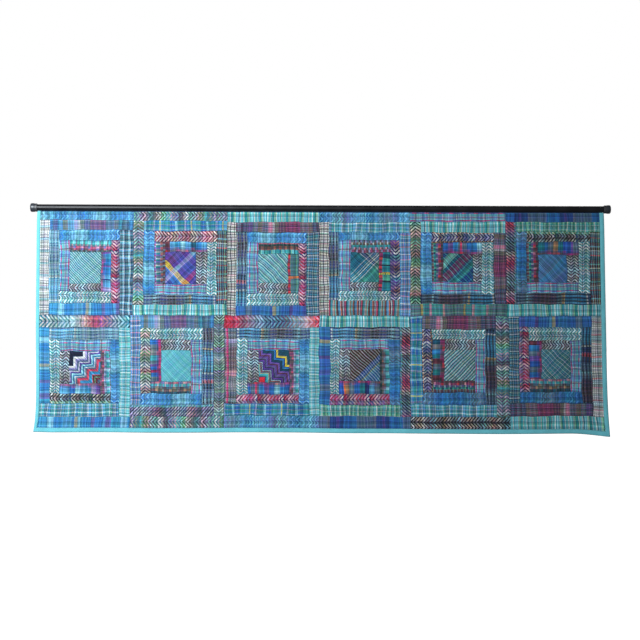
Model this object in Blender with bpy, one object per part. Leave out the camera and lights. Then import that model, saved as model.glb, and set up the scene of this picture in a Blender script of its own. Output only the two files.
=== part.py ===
"""A wide, low patchwork quilt hung from a slotted round rail.

The rail is a black tube with a slot along its underside. A thin rod lies in a loop of
cloth sewn along the quilt's top edge; rod and loop sit inside the tube, and only the flat
neck of the loop passes through the slot. Three wall brackets carry shoulder screws whose
heads hook into keyholes in the back of the tube.

Frame: X along the rail, +Y into the wall, +Z up. The wall is the plane Y = 0, and the
origin is on it, on the axis of the middle hook screw. The quilt faces -Y.
"""

import math

import bmesh
import bpy

# Driving dimensions, in metres
GAP = 0.0003  # clearance kept between neighbouring solids

TUBE_RADIUS = 0.0125
TUBE_WALL = 0.0017
TUBE_VISIBLE_LENGTH = 2.153
TUBE_STANDOFF = 0.030  # tube axis to wall
SLOT_WIDTH = 0.0052

HOOK_RISE = 0.004  # hook screw axis above the tube axis, with the rail hung
HOOK_LIFT = 0.007  # travel from the hung place to the keyhole's large end
NECK_RADIUS = 0.002
HEAD_RADIUS = 0.0036
HEAD_THICKNESS = 0.0018
HEAD_FROM_TUBE_AXIS = 0.0056
THREAD_RADIUS = 0.0023
THREAD_DEPTH = 0.0105
KEYHOLE_RADIUS = 0.0042
KEYWAY_RADIUS = 0.0025

BRACKET_SPACING = 0.85
PLATE_THICKNESS = 0.004
PLATE_RADIUS = 0.008
PLATE_DROP = 0.062
BOSS_RADIUS = 0.007
BOSS_TO_TUBE = 0.001
SCREW_HOLE_RADIUS = 0.0023
COUNTERSINK_RADIUS = 0.0043
SCREW_DROPS = (0.024, 0.056)

COLLAR_LENGTH = 0.010
COLLAR_RADIUS = 0.0155
CAP_LENGTH = 0.017
CAP_RADIUS = 0.0165
CAP_EDGE = 0.005
CAP_DOME = 0.0015
SPIGOT_LENGTH = 0.015
SPIGOT_BORE = 0.0075

ROD_RADIUS = 0.0035
CLOTH = 0.001  # thickness of the rod pocket's cloth
PLY_GAP = 0.0004  # between the two plies in the neck

PIVOT_DROP = 0.0158  # tube axis to the quilt's top edge, where the neck bends
QUILT_LENGTH = 0.8405
TOP_HALF_WIDTH = 1.0758
HEM_HALF_WIDTH = 1.0900
BINDING = 0.018
ROW_SPLIT = 0.393  # quilt's top edge to the seam between the two rows of blocks
COLUMNS = 6
TOP_LAYER = (-0.00305, -0.00175)
BATTING_LAYER = (-0.00145, 0.00175)
BACKING_LAYER = (0.00205, 0.00305)
QUILT_HALF = 0.00305

TUBE_Y = -TUBE_STANDOFF
TUBE_Z = -HOOK_RISE
TUBE_BORE = TUBE_RADIUS - TUBE_WALL
PIVOT_Z = TUBE_Z - PIVOT_DROP
POCKET_RADIUS = ROD_RADIUS + GAP + CLOTH
ROD_DROP = TUBE_BORE - POCKET_RADIUS - GAP
TUBE_HALF = TUBE_VISIBLE_LENGTH / 2 + COLLAR_LENGTH
ROD_HALF = TUBE_HALF - SPIGOT_LENGTH - 0.001

SIDES = 40  # facets round a tube or a ring
SMALL_SIDES = 24  # facets round a screw or a boss


def clear_scene():
    for obj in list(bpy.data.objects):
        bpy.data.objects.remove(obj, do_unlink=True)


def material(name, colour, roughness, metallic=0.0):
    mat = bpy.data.materials.new(name)
    mat.use_nodes = True
    shader = mat.node_tree.nodes["Principled BSDF"]
    shader.inputs["Base Color"].default_value = (*colour, 1.0)
    shader.inputs["Roughness"].default_value = roughness
    shader.inputs["Metallic"].default_value = metallic
    mat.diffuse_color = (*colour, 1.0)
    return mat


def pivot(name, place):
    """An empty that carries one moving group, on the axis of its joint."""
    empty = bpy.data.objects.new(name, None)
    empty.location = place
    bpy.context.scene.collection.objects.link(empty)
    return empty


def finish(bm, name, mat, place, parent, smooth):
    """Turns a bmesh, built in world metres, into a named object with its origin at place."""
    bmesh.ops.recalc_face_normals(bm, faces=bm.faces)
    bmesh.ops.translate(bm, verts=bm.verts, vec=[-c for c in place])
    mesh = bpy.data.meshes.new(name)
    bm.to_mesh(mesh)
    bm.free()
    if smooth:
        mesh.shade_smooth()
        mesh.set_sharp_from_angle(angle=math.radians(35))
    mesh.materials.append(mat)
    obj = bpy.data.objects.new(name, mesh)
    bpy.context.scene.collection.objects.link(obj)
    if parent is None:
        obj.location = place
    else:
        obj.parent = parent
        obj.location = [a - b for a, b in zip(place, parent.location)]
    return obj


def prism(outline, low, high, axis):
    """Extrudes a closed outline from low to high along X (outline in Y, Z) or Y (in X, Z)."""
    bm = bmesh.new()
    if axis == "X":
        verts = [bm.verts.new((low, a, b)) for a, b in outline]
        step = (high - low, 0, 0)
    else:
        verts = [bm.verts.new((a, low, b)) for a, b in outline]
        step = (0, high - low, 0)
    face = bm.faces.new(verts)
    grown = bmesh.ops.extrude_face_region(bm, geom=[face], use_keep_orig=True)
    moved = [g for g in grown["geom"] if isinstance(g, bmesh.types.BMVert)]
    bmesh.ops.translate(bm, verts=moved, vec=step)
    return bm


def turned(profile, centre, axis, sides, ring=False):
    """Turns a profile of (radius, distance along axis) about an axis through centre.

    An open profile starts and ends on the axis; a ring's profile is a closed loop.
    """
    bm = bmesh.new()
    rows = []
    for radius, along in profile:
        if radius == 0:
            rows.append([bm.verts.new(axis_point(centre, axis, along, 0, 0))])
            continue
        row = []
        for i in range(sides):
            angle = 2 * math.pi * i / sides
            across = (radius * math.cos(angle), radius * math.sin(angle))
            row.append(bm.verts.new(axis_point(centre, axis, along, *across)))
        rows.append(row)
    pairs = list(zip(rows, rows[1:]))
    if ring:
        pairs.append((rows[-1], rows[0]))
    for first, second in pairs:
        for i in range(sides):
            j = (i + 1) % sides
            corners = [first[i % len(first)], first[j % len(first)]]
            corners += [second[j % len(second)], second[i % len(second)]]
            bm.faces.new(list(dict.fromkeys(corners)))
    return bm


def axis_point(centre, axis, along, a, b):
    x, y, z = centre
    if axis == "X":
        return (x + along, y + a, z + b)
    return (x + a, y + along, z + b)


def arc(centre, radius, start, end, steps):
    """Points on an arc, angles in degrees, both ends included."""
    points = []
    for i in range(steps + 1):
        angle = math.radians(start + (end - start) * i / steps)
        points.append((centre[0] + radius * math.cos(angle), centre[1] + radius * math.sin(angle)))
    return points


def combine(obj, bm, name, operation):
    """Cuts a closed bmesh out of obj, or joins it on, and leaves it as a hidden wire guide."""
    bmesh.ops.recalc_face_normals(bm, faces=bm.faces)
    mesh = bpy.data.meshes.new(name)
    bm.to_mesh(mesh)
    bm.free()
    cutter = bpy.data.objects.new(name, mesh)
    bpy.context.scene.collection.objects.link(cutter)
    cutter.hide_render = True
    cutter.display_type = "WIRE"
    cutter.parent = obj.parent
    if obj.parent is not None:
        cutter.location = [-c for c in obj.parent.location]
    boolean = obj.modifiers.new(name, "BOOLEAN")
    boolean.operation = operation
    boolean.solver = "EXACT"
    boolean.object = cutter


# Wall side


def stadium(x, radius, high, low):
    """Outline in X, Z of an upright plate with round ends centred at heights high and low."""
    return arc((x, high), radius, 0, 180, 12) + arc((x, low), radius, 180, 360, 12)


def wall_bracket(name, x, mat):
    """A thin upright plate with one boss, turned and pressed as one piece of metal."""
    boss_end = TUBE_Y + TUBE_RADIUS + BOSS_TO_TUBE
    outline = stadium(x, PLATE_RADIUS, 0.0, -PLATE_DROP)
    obj = finish(prism(outline, -PLATE_THICKNESS, 0.0, "Y"), name, mat, (x, 0, 0), None, True)
    # The boss overlaps the plate by half its thickness, so that the union has no shared face.
    boss_profile = [(0, -PLATE_THICKNESS / 2), (BOSS_RADIUS, -PLATE_THICKNESS / 2)]
    boss_profile += [(BOSS_RADIUS, boss_end + 0.0006), (BOSS_RADIUS - 0.0006, boss_end)]
    boss_profile += [(0, boss_end)]
    boss = turned(boss_profile, (x, 0, 0), "Y", SMALL_SIDES)
    combine(obj, boss, name + "_boss", "UNION")
    bore_profile = [(0, boss_end - 0.001), (THREAD_RADIUS + GAP, boss_end - 0.001)]
    bore_profile += [(THREAD_RADIUS + GAP, boss_end + THREAD_DEPTH), (0, boss_end + THREAD_DEPTH)]
    bore = turned(bore_profile, (x, 0, 0), "Y", SMALL_SIDES)
    combine(obj, bore, name + "_tapped_hole", "DIFFERENCE")
    for i, drop in enumerate(SCREW_DROPS):
        sink = COUNTERSINK_RADIUS - SCREW_HOLE_RADIUS
        hole = [(0, 0.001), (SCREW_HOLE_RADIUS, 0.001)]
        hole += [(SCREW_HOLE_RADIUS, -PLATE_THICKNESS + sink)]
        hole += [(COUNTERSINK_RADIUS + 0.001, -PLATE_THICKNESS - 0.001), (0, -PLATE_THICKNESS - 0.001)]
        drill = turned(hole, (x, 0, -drop), "Y", SMALL_SIDES)
        combine(obj, drill, f"{name}_screw_hole_{i + 1}", "DIFFERENCE")
    return obj


def hook_screw(name, x, mat):
    """Shoulder screw: thread in the boss, neck through the keyway, head inside the tube."""
    boss_end = TUBE_Y + TUBE_RADIUS + BOSS_TO_TUBE
    head_back = TUBE_Y + HEAD_FROM_TUBE_AXIS + HEAD_THICKNESS
    head_front = TUBE_Y + HEAD_FROM_TUBE_AXIS
    tip = boss_end + THREAD_DEPTH - GAP
    profile = [(0, tip), (THREAD_RADIUS, tip), (THREAD_RADIUS, boss_end + GAP)]
    profile += [(NECK_RADIUS, boss_end + GAP), (NECK_RADIUS, head_back), (HEAD_RADIUS, head_back)]
    profile += [(HEAD_RADIUS, head_front + 0.0005), (HEAD_RADIUS - 0.0005, head_front), (0, head_front)]
    return finish(turned(profile, (x, 0, 0), "Y", SMALL_SIDES), name, mat, (x, 0, 0), None, True)


# Rail


def tube_outline():
    """C-shaped section in Y, Z, open at the bottom."""
    centre = (TUBE_Y, TUBE_Z)
    outer = math.degrees(math.asin(SLOT_WIDTH / 2 / TUBE_RADIUS))
    inner = math.degrees(math.asin(SLOT_WIDTH / 2 / TUBE_BORE))
    points = arc(centre, TUBE_RADIUS, -90 + outer, 270 - outer, SIDES)
    return points + arc(centre, TUBE_BORE, 270 - inner, -90 + inner, SIDES)


def cut_keyhole(tube, x, name):
    """Large hole below, narrow keyway above it, through the tube's back wall only."""
    low = TUBE_Y + 0.006
    high = TUBE_Y + TUBE_RADIUS + 0.002
    top = TUBE_Z + HOOK_RISE - (KEYWAY_RADIUS - NECK_RADIUS - GAP)
    bottom = TUBE_Z + HOOK_RISE - HOOK_LIFT
    half = math.degrees(math.asin(KEYWAY_RADIUS / KEYHOLE_RADIUS))
    outline = arc((x, top), KEYWAY_RADIUS, 0, 180, 10)
    outline += arc((x, bottom), KEYHOLE_RADIUS, 90 + half, 450 - half, 20)
    combine(tube, prism(outline, low, high, "Y"), name, "DIFFERENCE")


def rail_tube(carrier, mat):
    centre = (0, TUBE_Y, TUBE_Z)
    obj = finish(prism(tube_outline(), -TUBE_HALF, TUBE_HALF, "X"), "rail_tube", mat, centre, carrier, True)
    for name, x in bracket_places():
        cut_keyhole(obj, x, "keyhole_" + name)


def end_collar(name, side, carrier, mat):
    """Ring round the tube's end, flush with it, its edges eased."""
    start = side * TUBE_VISIBLE_LENGTH / 2
    inner = TUBE_RADIUS + GAP
    ease = 0.001
    profile = [(inner, 0), (COLLAR_RADIUS - ease, 0), (COLLAR_RADIUS, ease)]
    profile += [(COLLAR_RADIUS, COLLAR_LENGTH - ease), (COLLAR_RADIUS - ease, COLLAR_LENGTH)]
    profile += [(inner, COLLAR_LENGTH)]
    profile = [(r, side * a) for r, a in profile]
    centre = (start, TUBE_Y, TUBE_Z)
    finish(turned(profile, centre, "X", SIDES, ring=True), name, mat, centre, carrier, True)


def end_cap(name, side, carrier, mat):
    """Round-edged drum with a hollow spigot that pushes into the tube."""
    face = TUBE_VISIBLE_LENGTH / 2 + COLLAR_LENGTH + GAP
    spigot = TUBE_BORE - GAP
    profile = [(0, 0.001), (SPIGOT_BORE, 0.001), (SPIGOT_BORE, -SPIGOT_LENGTH)]
    profile += [(spigot - 0.001, -SPIGOT_LENGTH), (spigot, -SPIGOT_LENGTH + 0.001), (spigot, 0)]
    profile += [(CAP_RADIUS - 0.001, 0), (CAP_RADIUS, 0.001)]
    rim = CAP_LENGTH - CAP_DOME - CAP_EDGE
    profile += [(r, a) for a, r in arc((rim, CAP_RADIUS - CAP_EDGE), CAP_EDGE, 90, 15, 6)]
    profile += [(0, CAP_LENGTH)]
    profile = [(r, side * a) for r, a in profile]
    centre = (side * face, TUBE_Y, TUBE_Z)
    finish(turned(profile, centre, "X", SIDES), name, mat, centre, carrier, True)


# Cloth inside the rail


def keder_rod(carrier, mat):
    centre = (0, TUBE_Y, TUBE_Z - ROD_DROP)
    ease = 0.0007
    profile = [(0, -ROD_HALF), (ROD_RADIUS - ease, -ROD_HALF), (ROD_RADIUS, -ROD_HALF + ease)]
    profile += [(r, -a) for r, a in reversed(profile)]
    finish(turned(profile, centre, "X", SMALL_SIDES), "keder_rod", mat, centre, carrier, True)


def rod_pocket(carrier, mat):
    """One strip folded round the rod; both plies leave through the slot as the neck.

    The neck's solid ends level with the underside of the tube. The few millimetres below
    it, down to the quilt's top edge, are where the cloth bends as the quilt swings.
    """
    centre = (TUBE_Y, TUBE_Z - ROD_DROP)
    bottom = TUBE_Z - TUBE_RADIUS
    half = CLOTH + PLY_GAP / 2
    outer = math.degrees(math.asin(half / POCKET_RADIUS))
    inner_radius = ROD_RADIUS + GAP
    inner = math.degrees(math.asin(PLY_GAP / 2 / inner_radius))
    outline = [(TUBE_Y + half, bottom)]
    outline += arc(centre, POCKET_RADIUS, -90 + outer, 270 - outer, 28)
    outline += [(TUBE_Y - half, bottom), (TUBE_Y - PLY_GAP / 2, bottom)]
    outline += arc(centre, inner_radius, 270 - inner, -90 + inner, 28)
    outline += [(TUBE_Y + PLY_GAP / 2, bottom)]
    place = (0, TUBE_Y, TUBE_Z - ROD_DROP)
    finish(prism(outline, -ROD_HALF, ROD_HALF, "X"), "rod_pocket", mat, place, carrier, True)


# Quilt


def half_width(drop):
    """The quilt's half width, which grows evenly from its top edge to its hem."""
    return TOP_HALF_WIDTH + (HEM_HALF_WIDTH - TOP_HALF_WIDTH) * drop / QUILT_LENGTH


def quilt_plate(name, corners, layer, carrier, mat):
    """A flat four-sided layer; its corners are (x, distance below the quilt's top edge)."""
    outline = [(x, PIVOT_Z - drop) for x, drop in corners]
    bm = prism(outline, TUBE_Y + layer[0], TUBE_Y + layer[1], "Y")
    finish(bm, name, mat, tuple(carrier.location), carrier, False)


def block(name, column, top, bottom, carrier, mat):
    """One pieced block; its sides follow the quilt's flare, with a seam gap all round."""
    corners = []
    for drop, order in ((top + GAP / 2, (0, 1)), (bottom - GAP / 2, (1, 0))):
        inner = half_width(drop) - BINDING - GAP
        for edge in order:
            x = -inner + 2 * inner * (column + edge) / COLUMNS
            corners.append((x + (GAP / 2 if edge == 0 else -GAP / 2), drop))
    quilt_plate(name, corners, TOP_LAYER, carrier, mat)


def inner_layer(name, layer, carrier, mat):
    """Batting or backing: the whole area inside the binding."""
    low = QUILT_LENGTH - BINDING - GAP
    top = half_width(0) - BINDING - GAP
    hem = half_width(low) - BINDING - GAP
    corners = [(-top, 0), (top, 0), (hem, low), (-hem, low)]
    quilt_plate(name, corners, layer, carrier, mat)


def bindings(carrier, mat):
    """Three strips; a mitre joins the side strips to the bottom one at each lower corner."""
    hem = half_width(QUILT_LENGTH)
    full = (-QUILT_HALF, QUILT_HALF)
    inside = hem - BINDING
    rise = QUILT_LENGTH - BINDING
    for name, side in (("binding_left", -1), ("binding_right", 1)):
        corners = [(half_width(0) - BINDING, 0), (half_width(0), 0), (hem, QUILT_LENGTH), (inside, rise)]
        quilt_plate(name, [(side * x, drop) for x, drop in corners], full, carrier, mat)
    mitre = GAP * 1.5
    corners = [(-hem + mitre, QUILT_LENGTH), (hem - mitre, QUILT_LENGTH)]
    corners += [(inside - mitre, rise), (-inside + mitre, rise)]
    quilt_plate("binding_bottom", corners, full, carrier, mat)


BLOCK_COLOURS = (
    (0.20, 0.42, 0.62),
    (0.30, 0.36, 0.48),
    (0.18, 0.40, 0.60),
    (0.24, 0.36, 0.52),
    (0.22, 0.44, 0.52),
    (0.16, 0.34, 0.50),
)


def quilt(carrier):
    rows = (("top", 0.0, ROW_SPLIT), ("bottom", ROW_SPLIT, QUILT_LENGTH - BINDING - GAP))
    for row, top, bottom in rows:
        for column, colour in enumerate(BLOCK_COLOURS):
            name = f"block_{row}_{column + 1}"
            block(name, column, top, bottom, carrier, material(name, colour, 0.9))
    inner_layer("batting", BATTING_LAYER, carrier, material("batting", (0.85, 0.84, 0.80), 0.95))
    inner_layer("backing", BACKING_LAYER, carrier, material("backing", (0.10, 0.38, 0.46), 0.9))
    bindings(carrier, material("binding", (0.13, 0.60, 0.64), 0.85))


def bracket_places():
    return (("left", -BRACKET_SPACING), ("middle", 0.0), ("right", BRACKET_SPACING))


def build():
    clear_scene()
    rail = pivot("rail_carrier", (0, TUBE_Y, TUBE_Z))
    swing = pivot("quilt_swing_axis", (0, TUBE_Y, PIVOT_Z))
    black = material("black_metal", (0.02, 0.02, 0.022), 0.35, 0.3)
    steel = material("steel", (0.55, 0.55, 0.56), 0.35, 1.0)
    collar = material("collar_black", (0.012, 0.012, 0.014), 0.5)
    cap = material("cap_grey", (0.05, 0.06, 0.08), 0.4)
    cloth = material("pocket_cloth", (0.03, 0.05, 0.09), 0.9)
    wood = material("rod_wood", (0.55, 0.40, 0.25), 0.6)
    for name, x in bracket_places():
        wall_bracket("wall_bracket_" + name, x, black)
        hook_screw("hook_screw_" + name, x, steel)
    rail_tube(rail, black)
    for name, side in (("left", -1), ("right", 1)):
        end_collar("end_collar_" + name, side, rail, collar)
        end_cap("end_cap_" + name, side, rail, cap)
    keder_rod(rail, wood)
    rod_pocket(rail, cloth)
    quilt(swing)


build()
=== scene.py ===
"""The looks of a log-cabin patchwork quilt that hangs from a slotted black rail.

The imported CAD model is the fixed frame, in metres: X runs along the rail, +Y goes into the
wall and +Z is up. The twelve pieced blocks, the batting, the backing, the three binding
strips and the rod pocket are built here as cloth, and stand for the CAD's flat soft solids.
The rail, its collars and caps, the rod, the brackets and the screws are the CAD's own
shapes with better materials.
"""

import math

import bpy
import numpy as np
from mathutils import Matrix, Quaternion, Vector


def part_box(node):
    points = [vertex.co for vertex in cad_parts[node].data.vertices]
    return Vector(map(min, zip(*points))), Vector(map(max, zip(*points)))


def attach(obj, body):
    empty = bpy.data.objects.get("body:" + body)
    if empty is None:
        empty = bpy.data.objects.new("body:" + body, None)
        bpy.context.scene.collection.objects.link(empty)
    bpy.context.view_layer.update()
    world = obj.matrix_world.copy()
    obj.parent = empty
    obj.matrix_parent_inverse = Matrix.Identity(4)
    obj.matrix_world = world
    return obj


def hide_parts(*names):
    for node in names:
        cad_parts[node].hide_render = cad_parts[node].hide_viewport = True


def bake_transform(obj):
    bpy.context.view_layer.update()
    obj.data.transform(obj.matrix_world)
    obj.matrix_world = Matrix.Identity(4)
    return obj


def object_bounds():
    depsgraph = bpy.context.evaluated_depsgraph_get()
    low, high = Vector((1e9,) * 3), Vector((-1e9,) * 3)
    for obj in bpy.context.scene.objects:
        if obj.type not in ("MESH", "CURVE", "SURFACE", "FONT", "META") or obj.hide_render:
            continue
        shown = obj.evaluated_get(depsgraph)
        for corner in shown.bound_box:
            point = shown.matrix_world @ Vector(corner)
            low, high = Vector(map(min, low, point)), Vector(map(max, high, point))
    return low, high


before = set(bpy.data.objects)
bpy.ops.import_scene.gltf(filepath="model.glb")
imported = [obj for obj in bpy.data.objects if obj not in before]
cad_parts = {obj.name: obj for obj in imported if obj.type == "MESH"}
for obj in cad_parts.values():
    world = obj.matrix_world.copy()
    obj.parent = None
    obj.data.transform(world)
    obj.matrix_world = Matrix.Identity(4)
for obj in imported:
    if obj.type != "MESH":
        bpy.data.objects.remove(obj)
cad_low, cad_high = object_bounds()
scene = bpy.context.scene

MM = 0.001

# Camera, light and floor

CAMERA_DISTANCE = 5.0
CAMERA_YAW = 1.0  # degrees to the left of square on
CAMERA_ROLL = 0.11
FRAME_WIDTH = 2.437  # metres across the view at the quilt
SENSOR = 36.0


def add_object(name, data):
    obj = bpy.data.objects.new(name, data)
    scene.collection.objects.link(obj)
    return obj


def add_mesh(name, points, faces):
    """An object with a new mesh, from an array of points and an array of faces."""
    mesh = bpy.data.meshes.new(name)
    mesh.from_pydata(np.reshape(points, (-1, 3)).tolist(), [], np.asarray(faces).tolist())
    return add_object(name, mesh)


def aim(obj, place, target):
    """Puts obj at place, with its -Z towards target."""
    obj.location = place
    obj.rotation_mode = "QUATERNION"
    obj.rotation_quaternion = (Vector(target) - Vector(place)).to_track_quat("-Z", "Y")


def make_camera(target):
    data = bpy.data.cameras.new("camera")
    data.sensor_width = SENSOR
    data.lens = SENSOR * CAMERA_DISTANCE / FRAME_WIDTH
    camera = add_object("camera", data)
    yaw = math.radians(CAMERA_YAW)
    back = Vector((-math.sin(yaw), -math.cos(yaw), 0)) * CAMERA_DISTANCE
    aim(camera, target + back, target)
    roll = Quaternion((0, 0, 1), math.radians(CAMERA_ROLL))
    camera.rotation_quaternion = camera.rotation_quaternion @ roll
    scene.camera = camera


def make_light(name, place, target, size, watts, colour):
    data = bpy.data.lights.new(name, "AREA")
    data.shape = "SQUARE"
    data.size = size
    data.energy = watts
    data.color = colour
    aim(add_object(name, data), place, target)


def make_world(shown, ambient):
    """White behind the object, and a softer even light from all round."""
    world = bpy.data.worlds.new("studio")
    world.use_nodes = True
    tree = world.node_tree
    background = tree.nodes["Background"]
    background.inputs["Color"].default_value = (1, 1, 1, 1)
    path = tree.nodes.new("ShaderNodeLightPath")
    strength = tree.nodes.new("ShaderNodeMapRange")
    strength.inputs["To Min"].default_value = ambient
    strength.inputs["To Max"].default_value = shown
    tree.links.new(path.outputs["Is Camera Ray"], strength.inputs["Value"])
    tree.links.new(strength.outputs["Result"], background.inputs["Strength"])
    scene.world = world


def make_floor(height, radius, sides):
    """A plain pale disc, which shines a little so that it looks as white as the backdrop."""
    turn = np.arange(sides) * 2 * math.pi / sides
    ring = np.stack([np.cos(turn) * radius, np.sin(turn) * radius, np.full(sides, height)], axis=1)
    floor = add_mesh("floor", ring, [list(range(sides))])
    mat = bpy.data.materials.new("floor")
    mat.use_nodes = True
    inputs = mat.node_tree.nodes["Principled BSDF"].inputs
    inputs["Base Color"].default_value = (0.9, 0.9, 0.9, 1)
    inputs["Roughness"].default_value = 0.9
    inputs["Emission Color"].default_value = (1, 1, 1, 1)
    inputs["Emission Strength"].default_value = 1.0
    floor.data.materials.append(mat)
    floor.visible_diffuse = floor.visible_glossy = False


AIM_OFFSET = Vector((-0.0052, 0, -0.004))  # from the object's middle, as the photo frames it
AMBIENT = 0.135
FLOOR_DROP = 0.6  # from the hem down to the floor

make_camera((cad_low + cad_high) / 2 + AIM_OFFSET)
scene.view_settings.view_transform = "Standard"
make_world(shown=1.0, ambient=AMBIENT)
make_light("key", (-1.6, -2.6, 0.7), (-1.9, 0, -0.4), size=1.2, watts=200, colour=(0.96, 1.03, 1.08))
make_light("back fill", (0.6, 3.4, 1.0), (0, 0, -0.4), size=2.4, watts=90, colour=(1, 1, 1))
make_floor(cad_low.z - FLOOR_DROP, radius=40, sides=64)

# Materials, built as formulas of node outputs


def linear(colour):
    """0 to 255 display values as a linear colour with alpha."""
    return (*[((c / 255 + 0.055) / 1.055) ** 2.4 for c in colour], 1)


PALETTE = {
    "white": (232, 236, 236), "cream": (224, 218, 204), "silver": (188, 198, 204),
    "grey": (122, 128, 138), "steel": (98, 124, 146), "char": (52, 56, 70), "black": (16, 17, 25),
    "ink": (20, 30, 62), "navy": (34, 58, 122), "royal": (42, 98, 192), "azure": (42, 114, 192),
    "lagoon": (62, 158, 208), "cobalt": (74, 92, 188), "blue": (50, 138, 206),
    "sky": (92, 172, 220), "ice": (150, 216, 236), "aqua": (112, 205, 214), "sea": (66, 172, 184),
    "teal": (34, 130, 148), "petrol": (24, 84, 112), "deep": (18, 58, 82), "mint": (140, 208, 186),
    "jade": (76, 164, 144), "leaf": (80, 138, 96), "forest": (26, 76, 70), "olive": (126, 128, 88),
    "sand": (172, 164, 116), "gold": (208, 172, 70), "yellow": (240, 216, 60),
    "orange": (226, 122, 62), "rust": (158, 82, 58), "brown": (98, 68, 58), "cocoa": (62, 46, 46),
    "tan": (172, 134, 104), "red": (214, 44, 60), "rose": (222, 74, 116), "pink": (232, 150, 176),
    "magenta": (190, 38, 124), "plum": (150, 42, 102), "wine": (108, 30, 62),
    "maroon": (104, 54, 72), "purple": (92, 62, 148), "violet": (116, 92, 176),
    "lilac": (166, 162, 212),
}
MOST_STOPS = 32  # a colour ramp's limit


class Signal:
    """A node's output that takes arithmetic."""

    def __init__(self, graph, socket):
        self.graph, self.socket = graph, socket

    def __add__(self, other):
        return self.graph.math("ADD", self, other)

    def __sub__(self, other):
        return self.graph.math("SUBTRACT", self, other)

    def __rsub__(self, other):
        return self.graph.math("SUBTRACT", other, self)

    def __mul__(self, other):
        return self.graph.math("MULTIPLY", self, other)

    def __truediv__(self, other):
        return self.graph.math("DIVIDE", self, other)

    __radd__, __rmul__ = __add__, __mul__

    def output(self, name):
        """Another output of the same node."""
        return Signal(self.graph, self.socket.node.outputs[name])

    def absolute(self):
        return self.graph.math("ABSOLUTE", self)

    def floor(self):
        return self.graph.math("FLOOR", self)

    def repeat(self, period):
        """Position within a repeat, from 0 to 1."""
        return self.graph.math("FRACT", self / period)

    def bounce(self, length):
        """Up and down between 0 and length."""
        return self.graph.math("PINGPONG", self, length)

    def sine(self, period):
        return self.graph.math("SINE", self * (2 * math.pi / period))

    def ease(self, low, high):
        """0 below low, 1 above high, smooth between."""
        return self.graph.node("MapRange", self, low, high, interpolation_type="SMOOTHSTEP")


class Graph:
    """A new material's node tree."""

    def __init__(self, name):
        self.mat = bpy.data.materials.new(name)
        self.mat.use_nodes = True
        self.tree = self.mat.node_tree
        self.shader = self.tree.nodes["Principled BSDF"]

    def feed(self, socket, value):
        if isinstance(value, Signal):
            self.tree.links.new(value.socket, socket)
        elif value is not None:
            socket.default_value = value

    def node(self, kind, *values, out=0, **settings):
        """Adds a node, feeds its inputs in order, leaving out any None, and gives an output."""
        node = self.tree.nodes.new("ShaderNode" + kind)
        for key, value in settings.items():
            setattr(node, key, value)
        for socket, value in zip(node.inputs, values):
            self.feed(socket, value)
        return Signal(self, node.outputs[out])

    def math(self, operation, *values):
        return self.node("Math", *values, operation=operation)

    def vector(self, x, y, z=0.0):
        return self.node("CombineXYZ", x, y, z)

    def noise(self, vector, scale, detail=2.0):
        return self.node("TexNoise", vector, None, scale, detail, out="Fac")

    def cloth_axes(self):
        """The cloth's own two directions, in millimetres."""
        split = self.node("SeparateXYZ", self.node("UVMap", uv_map="cloth"))
        return split, split.output("Y")

    def place_axes(self):
        """A rigid piece's position in the frame, in millimetres."""
        split = self.node("SeparateXYZ", self.node("TexCoord", out="Object"))
        return [split.output(axis) * 1000 for axis in "XYZ"]

    def chance(self, position):
        """A random number from 0 to 1, and a random colour, for each whole number of position."""
        node = self.node("TexWhiteNoise", None, position.floor(), noise_dimensions="1D")
        return node, node.output("Color")

    def attribute(self, name):
        return self.node("Attribute", out="Fac", attribute_name=name)

    def blend(self, share, first, second, mode="MIX"):
        unused = [None] * 5  # the node's inputs for plain numbers and vectors
        settings = dict(data_type="RGBA", blend_type=mode)
        return self.node("Mix", share, *unused, first, second, out=2, **settings)

    def shade(self, colour, factor):
        plain = colour if isinstance(colour, Signal) else colour[:3]
        return self.node("VectorMath", plain, None, None, factor, operation="SCALE")

    def bands(self, position, text, soft=False):
        """Repeating coloured bands, from text such as '12 teal, 4 gold' in millimetres."""
        rows = [entry.split() for entry in text.split(",")]
        rows = [(float(width), linear(PALETTE[name])) for width, name in rows]
        if len(rows) == 1:
            return rows[0][1]
        assert len(rows) <= MOST_STOPS
        period = sum(width for width, _ in rows)
        colours = self.node("ValToRGB", position.repeat(period), out="Color")
        ramp = colours.socket.node.color_ramp
        ramp.interpolation = "B_SPLINE" if soft else "CONSTANT"
        at = 0.0
        for i, (width, colour) in enumerate(rows):
            place = (at + (width / 2 if soft else 0)) / period
            stop = ramp.elements[i] if i < 2 else ramp.elements.new(place)
            stop.position = place
            stop.color = colour
            at += width
        return colours

    def finish(self, colour, roughness, height, distance, strength=1.0, **constants):
        """Feeds the shader: its colour, roughness and bump, and constants by input name."""
        self.feed(self.shader.inputs["Base Color"], colour)
        self.feed(self.shader.inputs["Roughness"], roughness)
        for key, value in constants.items():
            self.shader.inputs[key.replace("_", " ")].default_value = value
        bump = self.node("Bump")
        inputs = bump.socket.node.inputs
        self.feed(inputs["Height"], height)
        inputs["Distance"].default_value = distance
        inputs["Strength"].default_value = strength
        self.feed(self.shader.inputs["Normal"], bump)
        return self.mat


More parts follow.
